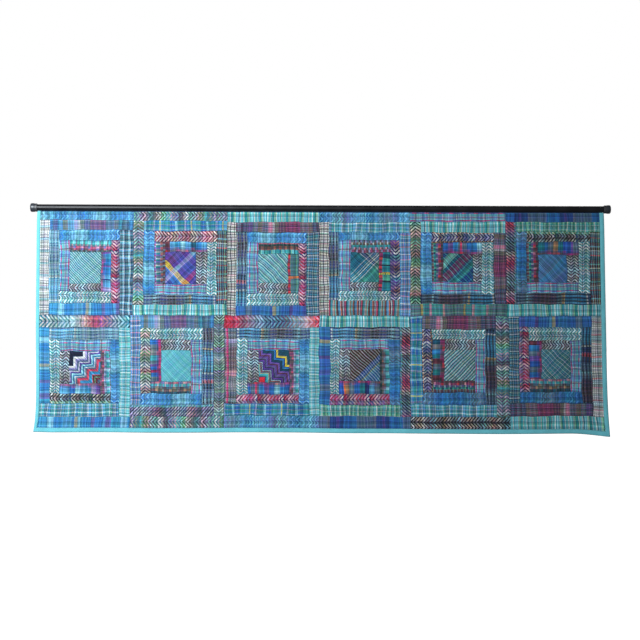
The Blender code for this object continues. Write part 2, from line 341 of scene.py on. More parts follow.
THREAD = 1.3  # millimetres between neighbouring threads
YARN = 2.9  # millimetres between yarns of a different shade
COARSE = 7.7  # millimetres between broader groups of them
WOBBLE = 2.4  # millimetres that a woven line strays
YARN_TINT = 0.3
DYE = 0.56  # how much of a palette colour the patchwork reflects, as it was seen in strong light
SEAM_SHADE = 3.0  # millimetres over which painted shade darkens the cloth beside a seam
PUCKER_REACH = 9.0  # millimetres from a seam that its stitches pucker
STITCH = 3.2  # millimetres from one stitch to the next
STITCH_INSET = 1.4  # millimetres from a binding's edge to its stitches
TURN_BACK = 0.9  # a zigzag line's slant: the way along for each millimetre across
LINE_EDGE = 0.07  # how soft a zigzag line's edge is, as a share of its pitch


def cloth_surface(g, u, v, colour, relief, painted_seam_shade=0.4, sheen=0.12, dye_share=1.0):
    """Finishes a cloth: threads, slubs, puckers, painted shade beside seams, uneven dye and a soft sheen.

    Every distance is in millimetres. A noise's scale is one over its size.
    """
    seam = g.attribute("seam")
    thread = u.sine(THREAD) * v.sine(THREAD)
    slub = g.noise(g.vector(u * 0.22, v * 1.6), 1.0)  # thick places, long in one direction
    slub = slub + g.noise(g.vector(u * 1.6, v * 0.22, 9.0), 1.0)
    dye = g.noise(g.vector(u, v, 3.0), 0.03, 3.0)
    pucker = g.noise(g.vector(u, v, 7.0), 0.11, 2.0)
    near = 1.0 - seam.ease(0.0, PUCKER_REACH)
    shade = thread * 0.07 + slub * 0.34 + dye * 0.34 + 0.49  # about 1 on average
    # painted shade: the cloth is darkened within SEAM_SHADE of every seam, standing in for the shadow in
    # the stitched ditch
    painted_shade_factor = seam.ease(0.0, SEAM_SHADE) * painted_seam_shade + (1.0 - painted_seam_shade)
    height = thread * 0.12 + slub * 0.3 + relief + pucker * (near * 1.6 + 0.5)
    return g.finish(
        g.shade(colour, shade * painted_shade_factor * dye_share), slub * 0.12 + 0.76, height, 0.0009, 0.9,
        Sheen_Weight=sheen, Sheen_Roughness=0.5, Specular_IOR_Level=0.25,
    )


def line_mask(g, u, v, pitch, row, duty=0.5):
    """Slanting lines that turn back every row, as in a herringbone or zigzag weave.

    Gives the lines' mask, and each line's own brightness. A row of 0 never turns back.
    """
    position = u + (v.bounce(row) if row else v) * TURN_BACK
    centred = (position.repeat(pitch) - 0.5).absolute()
    mask = centred.ease(duty / 2 - LINE_EDGE, duty / 2 + LINE_EDGE)
    own, _ = g.chance(position / (pitch / 2) + 0.5)
    return mask, own * 0.7 + 0.65


def stripe_mask(g, position, width, offset, period):
    """1 on a stripe, with its edges a fifth of a millimetre soft."""
    if period:
        position = (position - offset).repeat(period) * period
    else:
        position = position - offset
    return position.ease(-0.1, 0.1) * (1.0 - position.ease(width - 0.1, width + 0.1))


def woven(name, warp, weft=None, share=0.5, soft=False, lines=None, over=(), turn=None, uneven=1.0):
    """A patchwork fabric.

    warp bands change along the strip and weft bands across it, and share is the weft's part
    of the mixture. lines are (bands, pitch, row, strength) for a zigzag or herringbone. over
    holds stripes (axis, offset, width, bands, strength, period). turn lays the pattern on
    the bias, or in steps that climb or fall to the right. uneven is how much one yarn's
    brightness differs from the next.
    """
    g = Graph(name)
    u, v = g.cloth_axes()
    wobble = (g.noise(g.vector(u, v, 5.0), 0.05) - 0.5) * WOBBLE
    p, q = u + wobble, v + wobble
    if turn:
        p, q = (u + v) * math.sqrt(0.5) + wobble, (u - v) * math.sqrt(0.5) + wobble
    # steps are a bias turned back and forth, and the shifts bring the warp's first band and a
    # step's corner to the patch's own corner
    if turn == "climb":
        p, q = q - (p + 15.0).bounce(25.0) + 108.0, p
    elif turn == "fall":
        p = p - (q + 20.0).bounce(24.0) + 24.0
    colour = g.bands(p, warp, soft)
    relief = 0.0
    if weft:
        checker = (u.sine(THREAD) * v.sine(THREAD)) * 0.25 + share
        colour = g.blend(checker, colour, g.bands(q, weft, soft))
    if lines:
        bands, pitch, row, strength = lines
        mask, own = line_mask(g, p, q, pitch, row)
        relief = mask * 0.25
        colour = g.shade(g.blend(mask * strength, colour, g.bands(p, bands, soft)), own)
    for axis, offset, width, bands, strength, period in over:
        ahead, aside = (p, q) if axis == "along" else (q, p)
        mask = stripe_mask(g, aside, width, offset, period)
        colour = g.blend(mask * strength, colour, g.bands(ahead, bands))
    # each yarn's own brightness and tint, the shifts keeping the two directions' yarns apart
    fine_p, tint = g.chance(p / YARN)
    fine_q, other = g.chance(q / YARN + 31.5)
    wide_p, _ = g.chance(p / COARSE + 7.3)
    wide_q, _ = g.chance(q / COARSE + 53.8)
    colour = g.blend(YARN_TINT, colour, g.blend(0.5, tint, other), "OVERLAY")
    fine = (fine_p - 0.5) * (0.66 * uneven) + (fine_q - 0.5) * (0.6 * uneven) + 1.0
    coarse = (wide_p - 0.5) * (0.32 * uneven) + (wide_q - 0.5) * (0.4 * uneven) + 1.0
    return cloth_surface(g, u, v, g.shade(g.shade(colour, fine), coarse), relief, dye_share=DYE)


def along(offset, width, bands, strength=0.9, period=0):
    """A stripe that runs along the strip, that far from its inner seam, in millimetres."""
    return ("along", offset, width, bands, strength, period)


def across(offset, width, bands, strength=0.9, period=0):
    """A stripe that runs across the strip."""
    return ("across", offset, width, bands, strength, period)


def striped(warp, *over, **more):
    return dict(warp=warp, over=over, **more)


def plaid(warp, weft, share=0.5, *over, **more):
    return dict(warp=warp, weft=weft, share=share, over=over, **more)


def zigzag(ground, bands, pitch=12.5, row=20, strength=0.9, *over):
    """Slanting lines, pitch apart, that turn back every row."""
    return dict(warp=ground, soft=True, lines=(bands, pitch, row, strength), over=over)


def edged(warp):
    """One of the strips beside a centre, with a red and a purple line by its inner seam."""
    red = along(0, 8, "24 plum, 15 magenta, 30 maroon, 12 red", 0.7)
    return striped(warp, red, along(8, 8, "19 purple, 27 navy, 16 plum", 0.5))


TEAL_BLOCKS = "36 teal, 4 ink, 26 jade, 5 gold, 24 teal, 5 ink, 24 sea, 16 petrol"
DARK_PLAID = (
    "34 steel, 8 ice, 20 steel, 88 maroon, 22 steel, 8 gold, 84 lagoon, 7 white, 22 navy, 14 red, "
    "22 navy"
)
# Every fabric's colours, as band widths in millimetres. 41 of them were rewritten with averages
# of the photo at hand, which another script printed for eight stretches along a strip and five
# across it. Their colours were named from the palette. Most edge_ fabrics and two chevron ones
# follow those stretches one by one.
FABRICS = {
    # the eight fabrics that every block shares, counted from its centre outwards
    "herring_grey": zigzag(
        "24 char, 9 maroon, 26 petrol, 12 ink, 16 char", "34 silver, 20 ice, 30 white, 12 silver",
        11.5, 13.5, 0.88, along(12.5, 2, "9 char, 5 maroon, 7 steel", 0.5)),
    "edge_blue": edged(
        "16 lilac, 24 sky, 6 navy, 16 sky, 30 blue, 6 violet, 24 blue, 18 lagoon, 12 violet"),
    "edge_night": edged(
        "16 maroon, 24 blue, 20 steel, 20 violet, 20 royal, 20 steel, 22 azure, 18 plum"),
    "edge_sky": edged("20 sky, 20 blue, 18 petrol, 24 sky, 18 ice, 20 lagoon, 20 sky, 18 maroon"),
    "edge_teal": plaid(
        "58 grey, 9 orange, 60 grey", "5 teal, 2 petrol, 4 jade", 0.7,
        along(0, 9, "12 red, 6 wine, 9 plum"), across(58, 9, "9 orange", 0.8, 127)),
    "edge_dark": striped(
        TEAL_BLOCKS, along(0, 13, "12 plum, 6 wine, 9 red, 6 wine"),
        across(62, 6, "5 yellow, 4 leaf", 0.8, 140)),
    "edge_royal": edged(
        "18 ice, 18 blue, 20 azure, 18 steel, 9 rose, 8 steel, 20 blue, 18 violet, 20 azure"),
    "edge_magenta": striped(
        "20 azure, 20 steel, 20 grey, 20 sea, 14 steel, 10 violet, 14 azure, 10 plum, 14 azure, "
        "18 steel", along(0, 9, "29 magenta, 15 rose, 26 plum", 0.85),
        along(9, 7, "19 purple, 26 navy, 15 plum", 0.65)),
    "edge_dusk": edged(
        "20 steel, 8 violet, 30 royal, 20 teal, 19 tan, 20 steel, 12 azure, 28 teal"),
    "edge_ice": edged("38 sky, 20 azure, 18 ice, 22 sky, 20 lagoon, 20 lilac, 18 violet"),
    "edge_tan": edged(
        "18 royal, 6 orange, 12 tan, 20 steel, 20 azure, 20 teal, 18 navy, 20 sky, 22 steel"),
    "edge_red": striped(
        "18 petrol, 18 grey, 20 blue, 18 teal, 20 maroon, 20 steel, 22 teal, 20 maroon",
        along(0, 9, "29 plum, 16 red, 18 maroon", 0.8),
        along(9, 8, "19 plum, 16 char, 28 maroon", 0.7)),
    "stripes_rose": striped(
        "12 sea, 5 steel, 9 aqua, 3 ice", along(0, 6, "9 char, 4 brown, 6 steel"),
        along(6, 7, "19 plum, 8 rose, 18 maroon, 12 violet", 0.85),
        along(13, 9, "19 rose, 9 violet, 17 plum, 12 pink", 0.75),
        along(22, 7, "9 steel, 6 pink", 0.6)),
    "stripes_tan": striped(
        "9 steel, 5 silver, 8 teal, 4 violet", along(0, 9, "9 maroon, 6 steel, 5 cocoa"),
        along(9, 9, "9 rust, 5 maroon, 6 steel", 0.8), along(34, 7, "9 violet, 6 plum, 5 lilac")),
    "stripes_rust": striped(
        "12 sea, 5 teal, 9 aqua, 3 mint, 9 teal", along(14, 13, "9 rust, 5 maroon, 8 brown"),
        along(27, 9, "9 black, 6 char"), along(36, 3, "6 rose, 3 plum")),
    "stripes_red": striped(
        "12 sea, 5 jade, 9 sea, 4 steel", along(0, 10, "9 plum, 6 lilac, 8 maroon"),
        along(10, 8, "9 steel, 6 maroon, 5 pink"),
        along(27, 9, "9 brown, 5 silver, 8 maroon, 5 steel"),
        along(36, 11, "9 steel, 5 lilac, 6 maroon", 0.8)),
    "stripes_wine": striped(
        "12 teal, 5 jade, 9 petrol, 5 sea", along(0, 8, "19 maroon, 12 char, 18 wine", 0.85),
        along(8, 10, "22 plum, 9 red, 19 maroon, 7 pink", 0.8),
        along(18, 8, "9 steel, 5 silver, 6 violet"),
        along(34, 13, "9 maroon, 6 steel, 5 brown, 5 grey")),
    "stripes_dusk": striped(
        "12 sea, 5 steel, 9 sea, 4 silver",
        along(0, 8, "19 plum, 16 rose, 18 violet, 15 pink", 0.7),
        along(18, 9, "19 steel, 12 tan, 15 grey, 17 maroon", 0.8),
        along(27, 11, "19 maroon, 9 tan, 18 brown, 7 grey", 0.85),
        along(38, 13, "19 ink, 16 char, 15 petrol", 0.8)),
    "stripes_black": striped(
        "12 sea, 5 aqua, 9 ice, 4 steel", along(0, 7, "19 black, 9 cocoa"),
        along(7, 6, "19 brown, 16 maroon, 9 rust", 0.85),
        along(13, 7, "19 steel, 12 maroon, 9 brown", 0.8)),
    "stripes_maroon": striped(
        "9 sea, 4 sky, 9 ice, 5 lilac, 9 sea", along(0, 7, "19 maroon, 12 cocoa, 15 plum", 0.85),
        along(7, 8, "19 plum, 16 wine, 12 maroon, 7 rose", 0.85),
        along(15, 8, "9 steel, 6 silver, 5 lilac", 0.7), along(34, 4, "8 maroon, 6 lilac", 0.6)),
    "magenta_lines": plaid(
        "9 sky, 2 steel, 7 ice, 9 aqua, 4 ice, 5 steel, 3 white, 14 sky",
        "7 sky, 3 ice, 9 steel, 2 white, 8 aqua", 0.5,
        along(2, 4.4, "29 magenta, 16 plum, 25 violet"), along(14, 2.6, "19 violet, 16 plum", 0.75),
        along(30, 4.4, "19 purple, 16 magenta, 12 violet")),
    "herring_aqua": zigzag(
        "30 sea, 18 teal, 24 sea, 16 steel", "40 white, 20 ice, 30 white", 11.5, 13.5, 0.87,
        along(12, 3.2, "6 maroon, 5 teal, 9 char, 6 petrol", 0.75),
        along(27, 2, "6 char, 5 sea, 4 wine, 6 jade", 0.6)),
    "zigzag_red": zigzag(
        "26 wine, 12 navy, 30 red, 18 plum, 14 navy",
        "24 rose, 14 white, 18 pink, 12 lilac, 20 rose, 10 white", 13, 20, 0.95,
        along(0, 6, "18 steel, 12 maroon, 9 navy", 0.4),
        along(25, 20, "18 azure, 12 steel, 9 navy", 0.5)),
    "zigzag_wine": zigzag("34 wine, 20 plum, 26 maroon, 18 char", "30 cream, 18 pink, 26 silver"),
    "zigzag_navy": zigzag(
        "30 navy, 20 ink, 26 purple", "24 white, 12 wine, 20 tan, 14 lilac, 18 aqua", 13, 20, 0.9,
        along(0, 13, "20 purple, 14 navy", 0.5)),
    "zigzag_royal": zigzag(
        "30 navy, 20 ink, 26 purple, 18 petrol", "24 white, 12 cobalt, 20 silver, 14 tan", 12.5, 20,
        0.85, along(0, 5, "6 brown, 5 tan, 4 black"), along(34, 6, "6 tan, 6 cocoa, 4 cream")),
    "zigzag_brown": zigzag(
        "26 black, 18 char, 24 cocoa, 16 navy", "24 white, 10 tan, 20 ice, 14 silver, 14 leaf",
        12.5, 20, 0.9, along(8, 9, "18 black, 9 char", 0.65),
        along(30, 8, "9 leaf, 6 mint, 5 sea", 0.6)),
    "zigzag_green": zigzag(
        "26 leaf, 18 cocoa, 24 teal, 16 wine", "24 white, 10 pink, 20 mint, 14 silver", 12.5, 20,
        0.95),
    "ikat_blue": zigzag(
        "34 azure, 40 sky, 24 royal, 40 lagoon, 44 ice, 30 blue", "40 ice, 24 sky, 30 aqua, 28 sky",
        12, 13.5, 0.5),
    "ikat_deep": zigzag(
        "44 steel, 30 azure, 26 blue, 34 azure, 40 blue, 30 steel", "40 sky, 24 azure, 30 lagoon",
        12, 13.5, 0.6),
    "dark_plaid": plaid(
        DARK_PLAID, "5 ice, 4 steel", 0.36, along(3, 5.4, "30 navy, 12 ink, 20 black", 0.9, 12.6),
        across(0, 1.8, "3 steel, 3 silver", 0.4, 11)),
    "dark_plaid_pale": plaid(
        DARK_PLAID, "6 ice, 4 sky", 0.55, along(3, 4.2, "30 steel, 12 navy, 20 petrol", 0.85, 12.6),
        across(0, 1.8, "3 ice, 3 silver", 0.4, 11)),
    "dark_plaid_deep": plaid(
        DARK_PLAID, "5 steel, 4 petrol", 0.4, along(3, 6, "30 ink, 12 black, 20 cocoa", 0.88, 12.6),
        across(0, 1.8, "3 steel, 3 petrol", 0.4, 11)),
    # fabrics of the outer rounds
    "royal": plaid(
        "36 azure, 24 steel, 34 azure, 34 blue, 10 royal, 12 sand, 10 sky, 40 azure, 12 purple, "
        "30 royal, 10 azure, 22 cobalt", "3 azure, 2 steel", 0.3),
    "royal_light": plaid(
        "36 lagoon, 24 ice, 34 blue, 34 sky, 10 blue, 12 sand, 10 ice, 40 blue, 12 violet, "
        "30 azure, 10 sky, 22 violet", "3 blue, 2 lagoon, 2 sky", 0.35),
    "royal_deep": plaid(
        "30 steel, 9 grey, 24 navy, 10 purple, 16 navy, 38 azure, 12 blue, 34 steel",
        "3 azure, 2 navy", 0.35),
    "ikat_sky": zigzag(
        "34 sky, 24 lagoon, 26 violet, 36 steel, 24 sky, 34 azure", "40 ice, 24 sky, 30 aqua", 11.5,
        13.5, 0.65),
    "plum": plaid(
        "16 petrol, 7 black, 14 steel, 6 black, 14 petrol, 16 olive, 30 grey, 60 plum, "
        "24 maroon, 14 olive, 8 white, 14 pink, 24 steel, 18 olive, 20 steel, 20 violet",
        "4.2 steel, 2 lilac", 0.3, along(1, 2.2, "60 ink, 100 wine, 120 char", 0.7, 6.4),
        across(0, 1.8, "5 ink, 5 magenta", 0.4, 5.2)),
    "plum_pale": plaid(
        "16 blue, 7 ink, 14 steel, 6 ink, 14 teal, 16 olive, 30 steel, 60 plum, 24 purple, "
        "14 olive, 8 white, 14 lilac, 24 sky, 18 olive, 20 blue, 20 violet", "4.2 sky, 2 steel",
        0.4, along(1, 1.8, "60 ink, 100 purple, 120 grey", 0.5, 5.4)),
    "plum_magenta": plaid(
        "16 petrol, 7 black, 14 steel, 6 black, 14 lilac, 16 grey, 88 maroon, 24 pink, 60 grey",
        "4.2 silver, 2 ink", 0.3, along(30, 9, "12 magenta, 6 plum, 10 magenta"),
        across(0, 2.4, "5 ink, 5 silver", 0.5, 6.4)),
    "cream": plaid(
        "9 white, 1.8 grey, 8 white, 1.4 pink, 10 ice, 1.8 char, 12 white, 2 silver",
        "5.4 white, 1.8 steel", 0.4, along(5, 1.8, "20 char, 12 steel, 18 black", 0.8, 12),
        across(0, 1.8, "4 char, 5 grey", 0.7, 9.5)),
    "cream_lines": plaid(
        "9 cream, 1.8 grey, 8 white, 4 pink, 10 cream, 1.8 char, 12 white, 6 mint, 12 cream",
        "5.4 white, 1.8 grey", 0.45, along(4, 3.4, "20 char, 6 steel, 18 black", 0.85, 13),
        across(0, 2.8, "5 black, 4 char", 0.75, 10)),
    "cream_red": plaid(
        "9 white, 2 grey, 12 white, 4 rose, 10 silver, 2 char, 18 ice, 6 red, 20 silver",
        "5.4 white, 1.6 grey", 0.45, along(4, 2.2, "20 char, 12 steel, 18 black", 0.7, 9),
        across(0, 2, "4 char, 5 grey", 0.6, 8.5)),
    "check_blue": plaid(
        "8 steel, 3 petrol, 7 sky, 2 white, 6 teal, 3 ink",
        "7 steel, 3 ink, 5 ice, 2 white, 6 petrol"),
    "check_teal": plaid(
        "7 steel, 2 white, 6 petrol, 4 sky, 3 ink", "6 teal, 2 white, 5 petrol, 4 steel"),
    "check_pink": plaid(
        "14 blue, 2 ice, 9 sky, 3 pink, 16 azure, 3 white", "5 sky, 2 white, 7 steel, 2 pink"),
    "check_aqua": plaid("6 aqua, 3 white, 7 sea, 4 ice, 3 teal", "6 aqua, 3 white, 5 ice, 3 sea"),
    "check_green": plaid(
        "9 mint, 3 forest, 9 aqua, 4 white, 6 jade, 3 petrol", "6 jade, 2 white, 6 sea, 3 forest"),
    "plaid_yellow": plaid(
        "22 sea, 12 sky, 5 yellow, 18 blue, 8 lilac, 26 teal, 8 ice, 20 royal",
        "5 blue, 2 white, 7 sea, 3 petrol"),
    "plaid_white": plaid(
        "12 steel, 3 white, 10 sky, 3 petrol, 12 aqua, 3 white, 8 sea",
        "5 sky, 2 white, 5 sea, 2 petrol"),
    "plaid_teal": plaid(
        "36 steel, 8 gold, 26 teal, 9 pink, 42 sea, 8 pink, 30 steel, 4 forest",
        "5 jade, 2 petrol, 4 grey", 0.45),
    "plaid_green": plaid(
        "16 petrol, 4 red, 14 steel, 3 white, 12 brown, 5 aqua, 12 maroon",
        "6 char, 2.6 ice, 5 maroon, 3 mint"),
    "aqua_stripes": striped(
        "6 aqua, 3 white, 5 sea, 4 ice, 7 aqua, 3 silver, 6 mint, 3 teal, 8 sea, 2 white, 5 aqua"),
    "bars": plaid(
        "4 rose, 4 char, 7 sea, 4 silver, 5 tan, 5 aqua, 4 rust, 4 char, 8 sky, 3 orange, "
        "5 maroon, 3 white, 4 steel", "4 steel, 3 char", 0.22),
    "multi_zigzag": zigzag(
        "28 leaf, 20 wine, 26 teal, 24 maroon, 20 purple, 28 sea",
        "20 white, 12 black, 22 aqua, 14 pink, 20 ice, 16 mint", 12.5, 20, 0.95),
    "green_zigzag": zigzag(
        "34 forest, 20 cocoa, 26 leaf, 14 wine", "26 mint, 12 cream, 22 pink, 14 jade"),
    "dark_zigzag": zigzag(
        "40 black, 24 char, 20 maroon, 30 black", "26 silver, 12 tan, 22 white, 14 steel, 20 ice",
        12.5, 20, 0.9, along(16, 9, "18 black, 9 ink", 0.75)),
    "red_twill": zigzag(
        "50 char, 20 wine, 30 navy, 26 black", "26 silver, 20 rose, 30 red, 46 ice, 30 steel", 12,
        0, 0.9, along(0, 6, "9 sea, 5 sky, 6 steel", 0.6)),
    "grey_twill": zigzag(
        "30 char, 20 petrol, 30 maroon, 26 navy", "26 lilac, 20 silver, 40 ice, 20 pink, 30 steel",
        12, 0, 0.9, along(0, 8, "9 sea, 5 sky, 6 aqua", 0.6)),
    "big_chevron": zigzag(
        "43 teal, 43 steel, 40 violet, 36 red, 50 silver, 43 sea, 43 steel, 43 teal",
        "43 ice, 43 silver, 30 pink, 40 rose, 50 white, 60 ice, 75 white", 15, 22, 0.9,
        across(0, 6, "9 ink, 9 char", 0.5, 45)),
    "dark_chevron": zigzag(
        "40 red, 45 silver, 45 maroon, 90 navy, 45 steel, 45 plum, 52 red",
        "50 pink, 45 ice, 100 sky, 80 ice, 87 rose", 15, 22, 0.85),
    "herring_green": zigzag(
        "34 steel, 20 maroon, 30 forest, 26 grey", "30 mint, 18 silver, 26 jade, 14 lilac", 11),
    # the twelve centres
    "bias_teal": plaid(
        "2.5 petrol, 1.4 sea, 1.9 white, 1.4 aqua", "2.4 aqua, 2.4 teal", 0.3, turn="bias",
        uneven=0.5),
    "bias_purple": plaid(
        "24 navy, 23.5 blue, 19 yellow, 26.5 purple, 34 cobalt, 20 purple, 20 azure",
        "40 cobalt, 16 rose, 28 cobalt, 20 purple, 30 maroon, 16 purple, 14 lilac, 2 cobalt", 0.42,
        along(-17, 16, "60 lilac, 30 ice", 0.5), turn="bias"),
    "bias_aqua": plaid(
        "2.4 aqua, 2 silver, 2.4 sea, 2 ink, 2.4 aqua, 2 white, 3 jade, 2.2 navy, 2.4 silver, "
        "2 petrol", "24 aqua, 30 sea", 0.2, turn="bias", uneven=0.5),
    "bias_dark": plaid(
        "44 sea, 3 deep, 30 teal, 3 ink, 24 teal, 2.4 white, 5.6 ink, 2.2 lilac, 5.8 ink, "
        "2.4 white, 41.6 steel",
        "2.6 white, 4 petrol, 2.6 sky, 4.4 petrol, 2.6 white, 65.8 jade, 60 petrol, 2.6 white, "
        "4.8 petrol, 2.6 sky, 3.8 petrol, 2.6 white, 5.6 petrol", 0.55, turn="bias", uneven=1.1),
    "bias_plum": plaid(
        "5 sea, 3 ink, 5 petrol, 3 black",
        "8 plum, 6 purple, 26 sea, 42 royal, 22 navy, 28 mint, 12 petrol, 20 plum", 0.45,
        turn="bias", uneven=1.2),
    "mottled_blue": plaid(
        "46 blue, 40 steel, 30 lagoon", "36 lagoon, 16 violet, 32 azure, 40 lagoon, 40 steel",
        soft=True, lines=("30 steel, 20 royal", 6, 3, 0.4), turn="bias", uneven=0.5),
    "steps_white": striped(
        "45 ink, 2 steel, 10 white, 9 lilac, 3 navy, 6 steel, 3 white, 6 violet, 3 navy, 7 ice, "
        "3 petrol, 6 sky, 3 white, 5 steel, 3 teal, 12 rose, 3 steel, 16 lagoon, 3 rose, "
        "10 brown, 3 mint, 12 maroon, 22 steel", turn="climb"),
    "bias_fine": plaid(
        "2.2 sea, 1.8 aqua, 1.6 sea, 2 ice", "5 aqua, 1 sea", 0.25, turn="bias", uneven=0.4),
    "steps_purple": striped(
        "30 red, 4 navy, 14 sea, 3 sand, 4 teal, 3 rust, 4 petrol, 3 silver, 4 navy, 8 purple, "
        "5 char, 4 violet, 2 steel, 9 purple, 5 maroon, 5 violet, 3 violet, 5 navy, 7 petrol, "
        "3 ink, 8 blue, 5 navy, 6 yellow, 4 sand, 42 petrol", turn="fall"),
    "bias_brown": plaid(
        "6.2 black, 3 silver",
        "6 cocoa, 10 royal, 2.4 sky, 8 azure, 4 sand, 9 lagoon, 3 sky, 39.6 blue, 82 brown", 0.45,
        turn="bias", uneven=0.6),
    "bias_lines": plaid(
        "6 sea, 2 silver",
        "2.6 sea, 2 cream, 2.8 steel, 2.2 black, 2.6 aqua, 2 white, 2.6 steel, 2.2 cocoa", 0.82,
        turn="bias", uneven=0.6),
    "bias_night": plaid(
        "4 teal, 2 grey, 5 teal, 2.6 silver", "4 teal, 2.2 silver, 6 teal", 0.35, turn="bias",
        uneven=0.7),
}

# What each block is pieced from: its seams' spacing across and down in millimetres, which is
# drawn out to the room there is, the side of its first strip, its centre, its differences from
# the eight shared fabrics, and its outer strips. Every strip is "fabric" or "fabric@shift", the
# shift being millimetres along the strip, with an r where the fabric is turned round. The first
# strip lies on the start side, and the others follow counterclockwise, each across the ends of
# all before it. The last is the extra strip along the quilt's top or bottom edge.
# The spacings aren't worked out from driving sizes: another script made them, from the seams'
# places as read off the photo by eye, at 3.81 millimetres to the pixel and rounded.

SHARED = (
    "herring_grey", "edge_blue", "stripes_rose", "magenta_lines", "herring_aqua", "zigzag_red",
    "ikat_blue", "dark_plaid",
)
BLOCKS = {
    "block_top_1": (
        "34 38 40 118 38 32 51", "32 38 40 46 122 30 46 46", "B", "bias_teal",
        {8: "dark_plaid_pale"}, "royal_light", "check_blue", "plum_pale", "cream", "ikat_blue@30"),
    "block_top_2": (
        "38 42 40 116 42 36 40", "34 40 42 40 126 42 38 42", "R", "bias_purple", {2: "edge_sky",
        3: "stripes_tan", 6: "zigzag_wine"}, "plaid_green", "plaid_yellow@20", "multi_zigzag@8",
        "aqua_stripes", "multi_zigzag@60"),
    "block_top_3": (
        "34 40 44 112 40 30 48", "38 40 40 42 114 42 46 38", "B", "bias_aqua", {2: "edge_teal",
        3: "stripes_rust", 8: "dark_plaid@160r"}, "royal", "check_teal", "plum@32",
        "cream_lines@13", "aqua_stripes@20"),
    "block_top_4": (
        "36 36 46 107 44 36 40", "38 38 30 46 114 34 36 59", "B", "bias_dark", {2: "edge_dark",
        3: "stripes_red", 6: "zigzag_navy", 8: "dark_plaid@15"}, "bars", "check_pink",
        "plaid_white@10", "cream_lines@5", "ikat_sky@10"),
    "block_top_5": (
        "38 42 42 114 34 46 46", "34 42 38 42 110 46 38 46", "R", "bias_plum", {2: "edge_royal",
        3: "stripes_wine@12", 6: "zigzag_royal", 8: "dark_plaid_deep@324"}, "plum",
        "aqua_stripes@14", "green_zigzag", "plaid_teal", "magenta_lines@9"),
    "block_top_6": (
        "38 40 44 110 44 44 38", "34 38 38 50 107 40 44 46", "R", "mottled_blue", {2: "edge_dusk",
        3: "stripes_wine@9", 6: "zigzag_brown@30", 7: "ikat_deep", 8: "dark_plaid_deep"},
        "plaid_green@30", "check_green", "red_twill@40", "aqua_stripes@33", "royal_deep@110"),
    "block_bottom_1": (
        "38 38 38 118 38 34 42", "46 46 46 122 38 38 50 42", "L", "steps_white", {2: "edge_ice",
        3: "stripes_maroon", 6: "zigzag_brown", 8: "dark_plaid_pale@10"}, "royal_light",
        "plaid_white@31", "check_aqua", "big_chevron", "royal_light"),
    "block_bottom_2": (
        "38 38 40 114 44 44 40", "48 42 42 118 46 42 44 44", "T", "bias_fine", {2: "edge_magenta",
        3: "stripes_dusk", 6: "zigzag_green", 8: "dark_plaid@60r"}, "plum_pale", "check_pink@7",
        "grey_twill", "herring_green", "multi_zigzag@100"),
    "block_bottom_3": (
        "46 42 42 118 38 38 38", "46 42 42 122 46 34 46 46", "L", "steps_purple",
        {2: "edge_royal@46", 3: "stripes_maroon@20", 6: "zigzag_red@20"}, "plum_magenta",
        "plaid_yellow@60", "check_aqua@9", "dark_chevron", "ikat_sky@70"),
    "block_bottom_4": (
        "42 34 42 114 34 42 38", "42 46 38 118 50 42 42 46", "L", "bias_brown", {2: "edge_tan",
        3: "stripes_black", 6: "zigzag_red@50", 7: "ikat_deep@20", 8: "dark_plaid@12"}, "royal@90",
        "check_green@12", "red_twill@70", "aqua_stripes@41", "royal_deep"),
    "block_bottom_5": (
        "46 38 46 118 38 42 50", "50 38 38 118 46 46 46 46", "T", "bias_lines", {2: "edge_red",
        3: "stripes_wine@45", 6: "zigzag_royal@26", 7: "ikat_deep", 8: "dark_plaid_deep"}, "plum",
        "plaid_yellow@90", "plaid_white@22", "multi_zigzag@31", "dark_zigzag"),
    "block_bottom_6": (
        "38 38 46 110 44 40 38", "42 50 34 114 50 42 50 50", "T", "bias_night", {2: "edge_night",
        3: "stripes_dusk@50", 6: "zigzag_red@80", 7: "ikat_deep@100", 8: "dark_plaid_deep@155r"},
        "royal", "check_teal@5", "plum", "cream_red", "aqua_stripes@50"),
}

# Sizes of the piecing, in metres

BINDING = 0.018
LEFT_BINDING = 0.0135  # its width seen from the front
TUCK = 0.0012  # of a block, under the binding
TOP_RISE = 0.0028  # of the cloth above its bending line, up to the rail
COLUMNS = 6
LOG_PUFF = 2.2 * MM
CENTRE_PUFF = 3.2 * MM
PUFF_REACH = 12 * MM  # from a seam to the strip's full thickness
CENTRE_REACH = 59 * MM  # from a centre's seams to its middle
SEAM_HALF = 0.7 * MM  # half the quilt's thickness where it is stitched through
SEAM_WOBBLE = 2.8 * MM  # how far a seam strays
WOBBLE_REACH = 30 * MM  # from the binding or rail to where a seam strays that far
THIN_HALF = 0.2 * MM  # half its thickness at the rail
LOG_STEPS = (6, 14)  # how finely a strip and a centre are divided
BACK_STEPS = (3, 7)  # and on the backing and batting

TOP_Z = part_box("backing")[1].z
LENGTH = TOP_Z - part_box("binding_bottom")[0].z
ROW_DROP = TOP_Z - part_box("block_top_1")[0].z
MIDDLE_Y = (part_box("backing")[1].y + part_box("block_top_1")[0].y) / 2
HEM_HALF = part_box("binding_right")[1].x
TOP_HALF = max(v.co.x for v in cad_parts["binding_right"].data.vertices if v.co.z > TOP_Z - MM)
INNER = 2 * TOP_HALF - LEFT_BINDING - BINDING  # the flat patchwork's width


def ramp_up(x, low, high):
    t = np.clip((np.asarray(x, float) - low) / (high - low), 0, 1)
    return t * t * (3 - 2 * t)


def half_width(drop):
    """Half the hanging quilt's width at a distance below its top edge; it flares at the hem."""
    share = np.clip(drop / LENGTH, 0, 1)
    return TOP_HALF + (HEM_HALF - TOP_HALF) * (0.45 * ramp_up(share, -0.3, 0.7) + 0.55 * share**9)


def across_quilt(flat_x, drop):
    """x of a place on the flat patchwork, given its distance from the left binding."""
    half = half_width(drop)
    return LEFT_BINDING - half + flat_x / INNER * (2 * half - LEFT_BINDING - BINDING)


# The hanging sheet: a coarse grid that is simulated as cloth, then sampled by every layer

